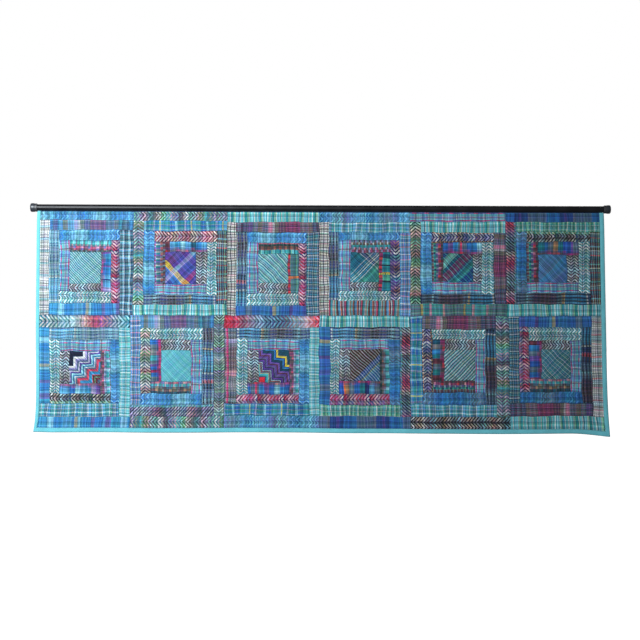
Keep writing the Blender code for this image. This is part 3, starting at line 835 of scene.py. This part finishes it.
SHEET_COLUMNS = 109
SHEET_ROWS = 43
SIM_FRAMES = 40
CLOTH_SETTINGS = {
    "quality": 8, "mass": 0.012, "tension_stiffness": 60, "compression_stiffness": 60,
    "shear_stiffness": 25, "bending_stiffness": 6, "air_damping": 3,
}
MOST_DRIFT = 12 * MM  # of a point from where it starts
CORNER_DROOP = 7.5 * MM  # of the lower right corner
CORNER_LIFT = 2 * MM  # of the lower left corner
CORNER_CURL = 5 * MM  # of both, towards the front
HEM_WAVE = 1 * MM
RIGHT_FLARE = 9 * MM  # how much further the right side swings out than the left
LEFT_TAPER = 9 * MM  # the left side stays straighter, down to its corner
HEM_RISE = 4.8 * MM  # of the hem's left half above its right half


def first_shape():
    """The sheet before it settles: straight along the rail, in gentle folds lower down.

    The folds are sums of waves, with their height in millimetres and their length in metres.
    """
    across, down = np.meshgrid(np.linspace(-1, 1, SHEET_COLUMNS), np.linspace(0, 1, SHEET_ROWS))
    drop = down * LENGTH
    x = across * half_width(drop) + np.maximum(across, 0) * RIGHT_FLARE * down**1.6
    x += np.maximum(-across, 0) * LEFT_TAPER * down**3 * (1 - down**10)
    wide_fold = 3.2 * np.sin(2 * math.pi * x / 0.71 + 0.8)
    fold = wide_fold + 2.2 * np.sin(2 * math.pi * x / 0.353 + 2.1 + 1.2 * down)
    fold += 1.3 * np.sin(2 * math.pi * (x / 0.26 + down * 0.8) + 4.0)
    bow = 2.4 * np.sin(math.pi * down) * np.cos(1.3 * x + 0.4)
    y = MIDDLE_Y + (fold * down**0.7 + bow - 2.0 * down) * MM
    y -= CORNER_CURL * ramp_up(np.abs(across), 0.95, 1.0) * down**4
    right = ramp_up(across, 0.86, 1.06) * 2 * CORNER_DROOP * down**10
    left = ramp_up(-across, 0.93, 1.0) * CORNER_LIFT * down**10
    hem_wave = HEM_WAVE * np.sin(2 * math.pi * x / 0.62 + 1.0) * down**3
    rise = HEM_RISE * (1 - ramp_up(x, -0.1, 0.45)) * down**2
    return np.stack([x, y, TOP_Z - drop - right + left - hem_wave + rise], axis=2)


def corners(grid):
    """The four corners of each face of a grid."""
    return np.stack([grid[:-1, :-1], grid[1:, :-1], grid[1:, 1:], grid[:-1, 1:]], axis=2)


def grid_faces(rows, columns):
    return corners(np.arange(rows * columns).reshape(rows, columns)).reshape(-1, 4)


def settle(points):
    """Lets the sheet hang from its top edge as cloth in front of the wall."""
    sheet = add_mesh("sheet", points, grid_faces(SHEET_ROWS, SHEET_COLUMNS))
    sheet.vertex_groups.new(name="held").add(list(range(SHEET_COLUMNS)), 1.0, "REPLACE")
    cloth = sheet.modifiers.new("cloth", "CLOTH")
    for key, value in CLOTH_SETTINGS.items():
        setattr(cloth.settings, key, value)
    cloth.settings.vertex_group_mass = "held"
    cloth.point_cache.frame_start = 1
    cloth.point_cache.frame_end = SIM_FRAMES
    wall = add_mesh("wall", [(-2, 0, -2), (2, 0, -2), (2, 0, 1), (-2, 0, 1)], [(0, 1, 2, 3)])
    wall.modifiers.new("wall", "COLLISION")
    for number in range(1, SIM_FRAMES + 1):
        scene.frame_set(number)
    settled = sheet.evaluated_get(bpy.context.evaluated_depsgraph_get()).data
    flat = np.empty(len(settled.vertices) * 3, np.float32)
    settled.vertices.foreach_get("co", flat)
    for obj in (sheet, wall):
        bpy.data.objects.remove(obj, do_unlink=True)
    scene.frame_set(1)
    moved = flat.reshape(points.shape).astype(float) - points
    size = np.linalg.norm(moved, axis=2, keepdims=True)
    return points + moved * np.minimum(1, MOST_DRIFT / np.maximum(size, 1e-9))


class Drape:
    """Places flat quilt coordinates on the hanging sheet."""

    def __init__(self, points):
        grid = np.pad(points, ((1, 1), (1, 1), (0, 0)), mode="reflect", reflect_type="odd")
        down, along_x = np.gradient(grid, axis=0), np.gradient(grid, axis=1)
        normal = np.cross(down, along_x)
        self.grid = grid
        self.normal = normal / np.linalg.norm(normal, axis=2, keepdims=True)

    def sample(self, grid, row, column):
        """Cubic interpolation between the grid's points."""
        i = np.clip(np.floor(row).astype(int), 0, SHEET_ROWS - 2)
        j = np.clip(np.floor(column).astype(int), 0, SHEET_COLUMNS - 2)

        def weights(t):
            return [(-t + 2 * t**2 - t**3) / 2, (2 - 5 * t**2 + 3 * t**3) / 2,
                    (t + 4 * t**2 - 3 * t**3) / 2, (-(t**2) + t**3) / 2]

        total = 0
        for a, weight_a in enumerate(weights(row - i)):
            for b, weight_b in enumerate(weights(column - j)):
                total = total + (weight_a * weight_b)[..., None] * grid[i + a, j + b]
        return total

    def place(self, x, drop, lift):
        """x from the quilt's middle, drop below its top edge, lift out of its front."""
        inside = np.clip(drop, 0, LENGTH)
        row = inside / LENGTH * (SHEET_ROWS - 1)
        column = (x / half_width(inside) + 1) / 2 * (SHEET_COLUMNS - 1)
        column = np.clip(column, 0, SHEET_COLUMNS - 1)
        where = self.sample(self.grid, row, column)
        normal = self.sample(self.normal, row, column)
        above = np.zeros_like(where)
        above[..., 2] = inside - drop
        return where + normal * np.asarray(lift)[..., None] + above


drape = Drape(settle(first_shape()))


def waver(x, drop, phase):
    """Smooth unevenness from -1 to 1, as in hand-sewn seams."""
    total = np.sin(2 * math.pi * (x / 0.13 + drop / 0.31) + phase)
    total += 0.8 * np.sin(2 * math.pi * (drop / 0.097 - x / 0.41) + 2.3 * phase)
    total += 0.6 * np.sin(2 * math.pi * (x / 0.061 + drop / 0.083) + 4.1 * phase)
    return total / 2.4


def sewn(x, drop, lift):
    """Places cloth with its seams a little uneven, except near the binding and the rail."""
    half = half_width(drop)
    room = np.minimum(x + half - LEFT_BINDING, half - BINDING - x)
    room = np.minimum(room, np.minimum(drop, LENGTH - BINDING - drop))
    free = ramp_up(room, 0, WOBBLE_REACH) * SEAM_WOBBLE
    return drape.place(x + free * waver(x, drop, 0.7), drop + free * waver(x, drop, 2.9), lift)


# Building meshes


def make_piece(name, points, corner_uv, seam, materials, index=None, back=False):
    """A smooth sheet from a grid of points.

    corner_uv holds each face's four corners in millimetres, in the order of grid_faces, and
    seam the distance of each point to its nearest seam in millimetres.
    """
    rows, columns = points.shape[:2]
    faces = grid_faces(rows, columns)
    corner_uv = corner_uv.reshape(-1, 4, 2)
    if back:
        faces, corner_uv = faces[:, ::-1], corner_uv[:, ::-1]
    piece = add_mesh(name, points, faces)
    mesh = piece.data
    layer = mesh.uv_layers.new(name="cloth")
    layer.data.foreach_set("uv", corner_uv.astype(np.float32).ravel())
    attribute = mesh.attributes.new("seam", "FLOAT", "POINT")
    attribute.data.foreach_set("value", seam.astype(np.float32).ravel())
    for mat in materials:
        mesh.materials.append(mat)
    if index is not None:
        mesh.polygons.foreach_set("material_index", index.astype(np.int32).ravel())
    mesh.shade_smooth()
    return piece


def declare(node):
    """Hides the CAD node that a cloth piece stands for."""
    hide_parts(node)


def refine(lines, steps):
    """Points between seam lines, closer together near each seam, and each line's index."""
    places, marks = [lines[0]], [0]
    for low, high, count in zip(lines, lines[1:], steps):
        for k in range(1, count + 1):
            places.append(low + (high - low) * (1 - math.cos(math.pi * k / count)) / 2)
        marks.append(len(places) - 1)
    return np.array(places), marks


def spiral(start, top_row):
    """The patches of a block: (side, left, right, top, bottom) in seam lines, centre first."""
    left, right = 3, 4
    top = 4 if top_row else 3
    bottom = top + 1
    patches = [("C", left, right, top, bottom)]
    sides = "BRTL" * 2
    first = sides.index(start)
    for side in sides[first:first + 4] * 3:
        if side == "B":
            patches.append((side, left, right, bottom, bottom + 1))
            bottom += 1
        elif side == "R":
            patches.append((side, right, right + 1, top, bottom))
            right += 1
        elif side == "T":
            patches.append((side, left, right, top - 1, top))
            top -= 1
        else:
            patches.append((side, left - 1, left, top, bottom))
            left -= 1
    patches.append(("T", 0, 7, 0, 1) if top_row else ("B", 0, 7, 7, 8))
    return patches


def seam_distance(x, drop, bounds):
    """Distance of points to the edges of one patch, in metres."""
    left, right, top, bottom = bounds
    return np.minimum(np.minimum(x - left, right - x), np.minimum(drop - top, bottom - drop))


def puff(distance, centre):
    """How far the padding lifts the cloth that far from a seam."""
    rise = 1 - (1 - np.clip(distance / PUFF_REACH, 0, 1)) ** 2.4
    if centre:
        crown = 1 - (1 - np.clip(distance / CENTRE_REACH, 0, 1)) ** 2
        return LOG_PUFF * rise + (CENTRE_PUFF - LOG_PUFF) * crown
    return LOG_PUFF * rise


def patch_uv(side, x, drop, bounds, shift):
    """Cloth coordinates in millimetres: along the strip, and out from its inner seam."""
    turned, shift = shift.endswith("r"), float(shift.rstrip("r") or 0)
    left, right, top, bottom = bounds
    pair = {
        "B": (x - left, drop - top),
        "R": (bottom - drop, x - left),
        "T": (right - x, bottom - drop),
        "L": (drop - top, right - x),
        "C": (x - left, bottom - drop),
    }[side]
    along_strip = pair[0] * (-1000 if turned else 1000) + shift
    return np.stack([along_strip, pair[1] * 1000], axis=-1)


def seam_lines(number):
    """A block's seam lines: distances from the left binding, and below the quilt's top edge."""
    first = number - number % COLUMNS
    widths = [[float(w) for w in row[0].split()] for row in list(BLOCKS.values())[first:first + COLUMNS]]
    total = sum(map(sum, widths))
    before = sum(map(sum, widths[:number - first]))
    across = (before + np.cumsum([0] + widths[number - first])) * INNER / total
    heights = [float(h) for h in list(BLOCKS.values())[number][1].split()]
    start, room = (0, ROW_DROP) if first == 0 else (ROW_DROP, LENGTH - BINDING - ROW_DROP)
    return across, start + np.cumsum([0] + heights) * room / sum(heights)


def steps_between(number, log_steps, centre_steps):
    """How finely the strips of a block are divided, across and down."""
    across, down = [log_steps] * 7, [log_steps] * 8
    across[3] = down[4 if number < COLUMNS else 3] = centre_steps
    return across, down


def made_fabric(name, made={}):
    if name not in made:
        made[name] = woven(name, **FABRICS[name])
    return made[name]


def thin_at_rail(lift, drop):
    """Brings the cloth's front or back close to its middle where it goes into the rail."""
    least = np.sign(lift) * THIN_HALF
    return least + (lift - least) * ramp_up(drop, -TOP_RISE, 0.004)


def make_block(node, number):
    _, _, start, centre, changes, *outer = BLOCKS[node]
    top_row = number < COLUMNS
    names = [centre] + [changes.get(i + 1, name) for i, name in enumerate(SHARED)] + list(outer)
    across, down = seam_lines(number)
    flat = (float(across[-1] - across[0]), float(down[-1] - down[0]))
    if number % COLUMNS == 0:
        across[0] -= TUCK
    if number % COLUMNS == COLUMNS - 1:
        across[-1] += TUCK
    if top_row:
        down[0] = -TOP_RISE
    else:
        down[-1] += TUCK
    across_steps, down_steps = steps_between(number, *LOG_STEPS)
    across_points, across_marks = refine(across, across_steps)
    down_points, down_marks = refine(down, down_steps)
    flat_x, drop = np.meshgrid(across_points, down_points)
    distance = np.zeros_like(drop)
    lift = np.zeros_like(drop)
    shape = (len(down_points) - 1, len(across_points) - 1)
    uv = np.zeros((*shape, 4, 2))
    index = np.zeros(shape)
    fabrics = []
    for (side, left, right, top, bottom), entry in zip(spiral(start, top_row), names):
        fabric, _, shift = entry.partition("@")
        if fabric not in fabrics:
            fabrics.append(fabric)
        l, r, t, b = across_marks[left], across_marks[right], down_marks[top], down_marks[bottom]
        bounds = (across[left], across[right], down[top], down[bottom])
        part = (slice(t, b + 1), slice(l, r + 1))
        inside = (slice(t + 1, b), slice(l + 1, r))
        distance[inside] = seam_distance(flat_x[inside], drop[inside], bounds)
        lift[inside] = puff(distance[inside], side == "C")
        uv[t:b, l:r] = corners(patch_uv(side, flat_x[part], drop[part], bounds, shift))
        index[t:b, l:r] = fabrics.index(fabric)
    x = across_quilt(flat_x, drop)
    lift = SEAM_HALF + lift * (0.94 + 0.12 * waver(x * 1.7, drop * 1.3, 5.0))
    lift = thin_at_rail(lift, drop)
    materials = [made_fabric(fabric) for fabric in fabrics]
    points = sewn(x, drop, lift)
    piece = make_piece(node + "_cloth", points, uv, distance * 1000, materials, index)
    declare(node)
    return piece


def joined(parts, axis):
    """Grids put side by side, sharing their edges at the mean of both."""
    total, *others = [np.moveaxis(part, axis, 0) for part in parts]
    for part in others:
        total = np.concatenate([total[:-1], (total[-1:] + part[:1]) / 2, part[1:]])
    return np.moveaxis(total, 0, axis)


def quilted_grid(log_steps, centre_steps):
    """The whole quilt's area inside the binding, with how far the padding lifts each point."""
    rows = []
    for first in (0, COLUMNS):
        parts = []
        for number in range(first, first + COLUMNS):
            lines = zip(seam_lines(number), steps_between(number, log_steps, centre_steps))
            parts.append(np.stack(np.meshgrid(*[refine(at, steps)[0] for at, steps in lines]), axis=-1))
        rows.append(joined(parts, 1))
    grid = joined(rows, 0)
    flat_x, drop = grid[..., 0], grid[..., 1]
    distance = np.zeros_like(drop)
    lift = np.zeros_like(drop)
    for number, (_, _, start, *_) in enumerate(BLOCKS.values()):
        across, down = seam_lines(number)
        for side, left, right, top, bottom in spiral(start, number < COLUMNS):
            bounds = (across[left], across[right], down[top], down[bottom])
            gap = seam_distance(flat_x, drop, bounds)
            distance = np.maximum(distance, gap)
            lift = np.maximum(lift, np.where(gap > 0, puff(gap, side == "C"), 0))
    tuck = TUCK * (ramp_up(flat_x, INNER - BINDING, INNER) - ramp_up(-flat_x, -BINDING, 0))
    x = across_quilt(flat_x, drop) + tuck
    drop = drop + TUCK * ramp_up(drop, LENGTH - 2 * BINDING, LENGTH - BINDING)
    return x, drop, distance, lift


def plain_cloth(name, ground, stripe, rib, sheen, painted_seam_shade=0.35, thread=None):
    """A plain woven cloth with a faint stripe, painted shade by its seam, and stitches of a thread colour
    along that seam.
    """
    g = Graph(name)
    u, v = g.cloth_axes()
    streak = g.noise(g.vector(u * 0.08, v * 2.2), 1.0).ease(0.35, 0.75)
    colour = g.blend(streak * 0.6, linear(ground), linear(stripe))
    relief = u.sine(rib) * 0.12
    if thread:
        seam = g.attribute("seam")
        row = stripe_mask(g, seam, 0.7, STITCH_INSET, 0)
        dash = (u.repeat(STITCH) - 0.5).absolute().ease(0.18, 0.26)
        stitch = row * (1.0 - dash)
        colour = g.blend(stitch, colour, linear(thread))
        relief = relief + stitch * 1.5 - stripe_mask(g, seam, 2.0, STITCH_INSET - 0.65, 0) * 0.8
    return cloth_surface(g, u, v, colour, relief, painted_seam_shade, sheen)


def make_backing():
    x, drop, distance, lift = quilted_grid(*BACK_STEPS)
    points = sewn(x, drop, thin_at_rail(-(SEAM_HALF + 0.75 * lift), drop))
    uv = corners(np.stack([x * 1000, drop * 1000], axis=-1))
    mat = plain_cloth("backing_cloth", (58, 138, 152), (44, 116, 136), 2.1, 0.12)
    piece = make_piece("backing_cloth", points, uv, distance * 1000, [mat], back=True)
    declare("backing")
    return piece


def make_batting():
    """The padding: a closed slab between the two cloths, pinched at every seam."""
    x, drop, _, lift = quilted_grid(*BACK_STEPS)
    front = sewn(x, drop, 0.1 * MM + 0.6 * lift)
    rear = sewn(x, drop, -0.1 * MM - 0.4 * lift)
    faces, count = grid_faces(*x.shape), x.size
    number = np.arange(count).reshape(x.shape)
    rim = np.concatenate([number[0, :-1], number[:-1, -1], number[-1, :0:-1], number[:0:-1, 0]])
    following = np.roll(rim, -1)
    sides = np.stack([rim, following, following + count, rim + count], axis=1)
    shell = np.concatenate([faces, faces[:, ::-1] + count, sides])
    piece = add_mesh("batting_pad", np.stack([front, rear]), shell)
    g = Graph("batting")
    fluff = g.noise(g.vector(*g.place_axes()), 0.35, 6.0)
    colour = g.shade(linear((232, 228, 214)), fluff * 0.3 + 0.8)
    piece.data.materials.append(g.finish(colour, fluff * 0.1 + 0.86, fluff, 0.001, Sheen_Weight=0.3))
    piece.data.shade_smooth()
    declare("batting")
    return piece


# A binding's section round the quilt's edge from front to back, in millimetres: how far in from
# the edge, and how far out of the quilt's middle
BINDING_SECTION = (
    (18.0, 1.1), (17.3, 1.9), (16.2, 2.5), (14.0, 2.9), (11.0, 3.05), (8.0, 3.1), (5.0, 3.0), (3.0, 2.7),
    (1.5, 2.1), (0.5, 1.2), (0.0, 0.0), (0.5, -1.2), (1.5, -2.1), (3.0, -2.6), (6.0, -2.8), (10.0, -2.75),
    (14.0, -2.5), (16.5, -2.0), (17.5, -1.5), (18.0, -1.1),
)
BINDING_STEP = 0.008
BINDING_CUT = 0.050  # the strip before it was folded round the edge, turnings included


def make_binding(node, side, mat):
    """One strip folded over the quilt's edge, mitred where the side strips meet the bottom one."""
    section = np.array(BINDING_SECTION) * MM
    inset, lift = section[:, :1], section[:, 1:]
    left_inset = inset * LEFT_BINDING / BINDING
    steps = np.hypot(np.diff(inset, axis=0), np.diff(lift, axis=0))
    round_length = np.concatenate([[[0]], np.cumsum(steps, axis=0)])
    length, cut = LENGTH, BINDING_CUT
    if side == "bottom":
        length = 2 * HEM_HALF
        share = np.linspace(0, 1, int(length / BINDING_STEP))
        x = run = share * (HEM_HALF - inset) - (1 - share) * (HEM_HALF - left_inset)
        drop = np.broadcast_to(LENGTH - inset, run.shape)
    else:
        share = np.linspace(0, 1, int(length / BINDING_STEP))
        drop = run = -TOP_RISE + share * (LENGTH + TOP_RISE - inset)
        sign, depth = 1, inset
        if side == "left":
            sign, depth = -1, left_inset
            cut -= 2 * (BINDING - LEFT_BINDING)
        mitre = ramp_up(drop, LENGTH - 0.05, LENGTH - inset)
        x = sign * ((half_width(drop) - depth) * (1 - mitre) + (HEM_HALF - depth) * mitre)
    ripple = 1 + 0.07 * waver(run * 2.3, inset * 8, 3.0)
    height = lift * ripple * (0.35 + 0.65 * ramp_up(drop, -TOP_RISE, 0.006))
    points = drape.place(x, drop, height)
    uv = np.stack(np.broadcast_arrays(run, round_length), axis=-1) * 1000
    seam = np.minimum(round_length, round_length[-1] - round_length) * 1000
    seam = np.broadcast_to(seam, run.shape)
    if side == "bottom":
        points, uv, seam = points[::-1], uv[::-1], seam[::-1]
    piece = make_piece(node + "_cloth", points, corners(uv), seam, [mat], back=side != "right")
    declare(node)
    return piece

POCKET_GAP = 0.6 * MM  # from the rod to the cloth round it
POCKET_TAIL = 6 * MM  # of the strip, sewn between the quilt's layers
NECK_HALF = 0.55 * MM  # half the two plies' thickness in the slot


def make_pocket():
    """One strip folded round the rod, whose two plies come out of the rail's slot."""
    low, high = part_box("rod_pocket")
    rod_low, rod_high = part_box("keder_rod")
    centre_y, centre_z = (rod_low.y + rod_high.y) / 2, (rod_low.z + rod_high.z) / 2
    radius = (rod_high.z - rod_low.z) / 2 + POCKET_GAP
    start = math.asin(NECK_HALF / radius)
    angles = np.linspace(start, 2 * math.pi - start, 33) - math.pi / 2
    loop = [(centre_y + radius * math.cos(a), centre_z + radius * math.sin(a)) for a in angles]
    bottom, mouth = TOP_Z - POCKET_TAIL, loop[0][1]
    heights = [bottom + (mouth - bottom) * k for k in np.linspace(0, 1, 9)[:-1]]
    right = [(centre_y + NECK_HALF, z) for z in heights]
    left = [(centre_y - NECK_HALF, z) for z in reversed(heights)]
    section = np.array(right + loop + left)
    stations = np.linspace(low.x, high.x, 200)
    wobble = 0.12 * MM * np.sin(stations * 61) * np.cos(stations * 23)
    x, y, z = np.broadcast_arrays(stations, section[:, :1] + wobble, section[:, 1:])
    length = np.concatenate([[0], np.cumsum(np.hypot(*np.diff(section, axis=0).T))])
    uv = np.stack(np.broadcast_arrays(stations, length[:, None]), axis=-1) * 1000
    seam = np.broadcast_to(np.minimum(length, length[-1] - length)[:, None] * 1000, x.shape)
    mat = plain_cloth("pocket_cloth", (34, 58, 92), (26, 44, 74), 1.7, 0.1)
    points = np.stack([x, y, z], axis=-1)
    piece = make_piece("rod_pocket_cloth", points, corners(uv), seam, [mat])
    declare("rod_pocket")
    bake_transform(piece)
    return piece


pieces = [make_block(node, number) for number, node in enumerate(BLOCKS)]
pieces.append(make_backing())
pieces.append(make_batting())
# the binding's cloth takes a little less painted shade by its seams than the other plain cloths
aqua = plain_cloth(
    "binding_cloth", (100, 177, 187), (80, 160, 174), 1.9, 0.15, painted_seam_shade=0.3, thread=(150, 214, 218)
)
for side in ("left", "right", "bottom"):
    pieces.append(make_binding("binding_" + side, side, aqua))
for piece in pieces:
    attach(piece, "quilt")
make_pocket()

# The rigid pieces keep the CAD's shapes


def finish_nodes(mat, *nodes):
    for node in nodes:
        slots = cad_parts[node].data.materials
        if not slots:
            slots.append(mat)
        for i in range(len(slots)):
            slots[i] = mat


def scaled(colour, factor):
    return (*[c * factor for c in colour[:3]], 1)


def rail_finish():
    """Black anodised aluminium, drawn along its length, with faint handling marks."""
    g = Graph("rail_black")
    x, y, z = g.place_axes()
    drawn = g.noise(g.vector(x * 0.01, y * 3.0, z * 3.0), 1.0, 4.0)
    cloud = g.noise(g.vector(x, y, z), 0.02, 3.0)
    dust = g.noise(g.vector(x * 0.4, y, z), 0.6, 5.0).ease(0.62, 0.8)
    colour = g.blend(cloud.ease(0.3, 0.7), (0.004, 0.004, 0.005, 1), (0.009, 0.009, 0.011, 1))
    colour = g.blend(dust * 0.3, colour, (0.03, 0.03, 0.03, 1))
    roughness = drawn * 0.22 + cloud * 0.12 + 0.24
    return g.finish(colour, roughness, drawn, 0.00008, 0.6, Specular_IOR_Level=0.26)


def moulded(name, colour, worn, roughness):
    """Moulded plastic or rubber: a fine grain, and edges that rub paler."""
    g = Graph(name)
    place = g.vector(*g.place_axes())
    grain, cloud = g.noise(place, 2.6, 4.0), g.noise(place, 0.12, 3.0)
    rub = g.node("NewGeometry", out="Pointiness").ease(0.51, 0.58) * cloud
    colour = g.blend(rub, g.blend(cloud, colour, scaled(colour, 1.5)), worn)
    return g.finish(colour, grain * 0.18 + roughness, grain, 0.00012, 0.7)


def metal(name, colour, roughness, metallic, brushed):
    """Scratched metal or paint; the scratches are long in x where brushed is small."""
    g = Graph(name)
    x, y, z = g.place_axes()
    scratch = g.noise(g.vector(x * brushed, y, z * 4.0), 1.4, 5.0)
    cloud = g.noise(g.vector(x, y, z), 0.1, 3.0)
    colour = g.blend(cloud * 0.5, colour, scaled(colour, 0.6))
    return g.finish(colour, scratch * 0.25 + roughness, scratch, 0.00006, 0.6, Metallic=metallic)


def wood(name):
    g = Graph(name)
    x, y, z = g.place_axes()
    grain = g.noise(g.vector(x * 0.02, y * 1.4, z * 1.4), 1.0, 6.0)
    pore = g.noise(g.vector(x * 0.12, y * 7.0, z * 7.0), 1.0, 3.0)
    colour = g.blend(grain.ease(0.3, 0.7), (0.58, 0.40, 0.22, 1), (0.40, 0.25, 0.12, 1))
    return g.finish(colour, pore * 0.2 + 0.5, pore + grain, 0.0001, 0.7)


SIDES = ("left", "middle", "right")
collar = moulded("collar_black", (0.012, 0.012, 0.014, 1), (0.05, 0.05, 0.055, 1), 0.38)
cap = moulded("cap_grey", (0.010, 0.012, 0.017, 1), (0.04, 0.045, 0.055, 1), 0.3)
bracket = metal("bracket_metal", (0.03, 0.03, 0.033, 1), 0.35, metallic=0.0, brushed=1.0)
steel = metal("screw_steel", (0.55, 0.55, 0.57, 1), 0.22, metallic=1.0, brushed=0.3)
finish_nodes(rail_finish(), "rail_tube")
finish_nodes(wood("rod_wood"), "keder_rod")
finish_nodes(collar, "end_collar_left", "end_collar_right")
finish_nodes(cap, "end_cap_left", "end_cap_right")
finish_nodes(bracket, *["wall_bracket_" + side for side in SIDES])
finish_nodes(steel, *["hook_screw_" + side for side in SIDES])
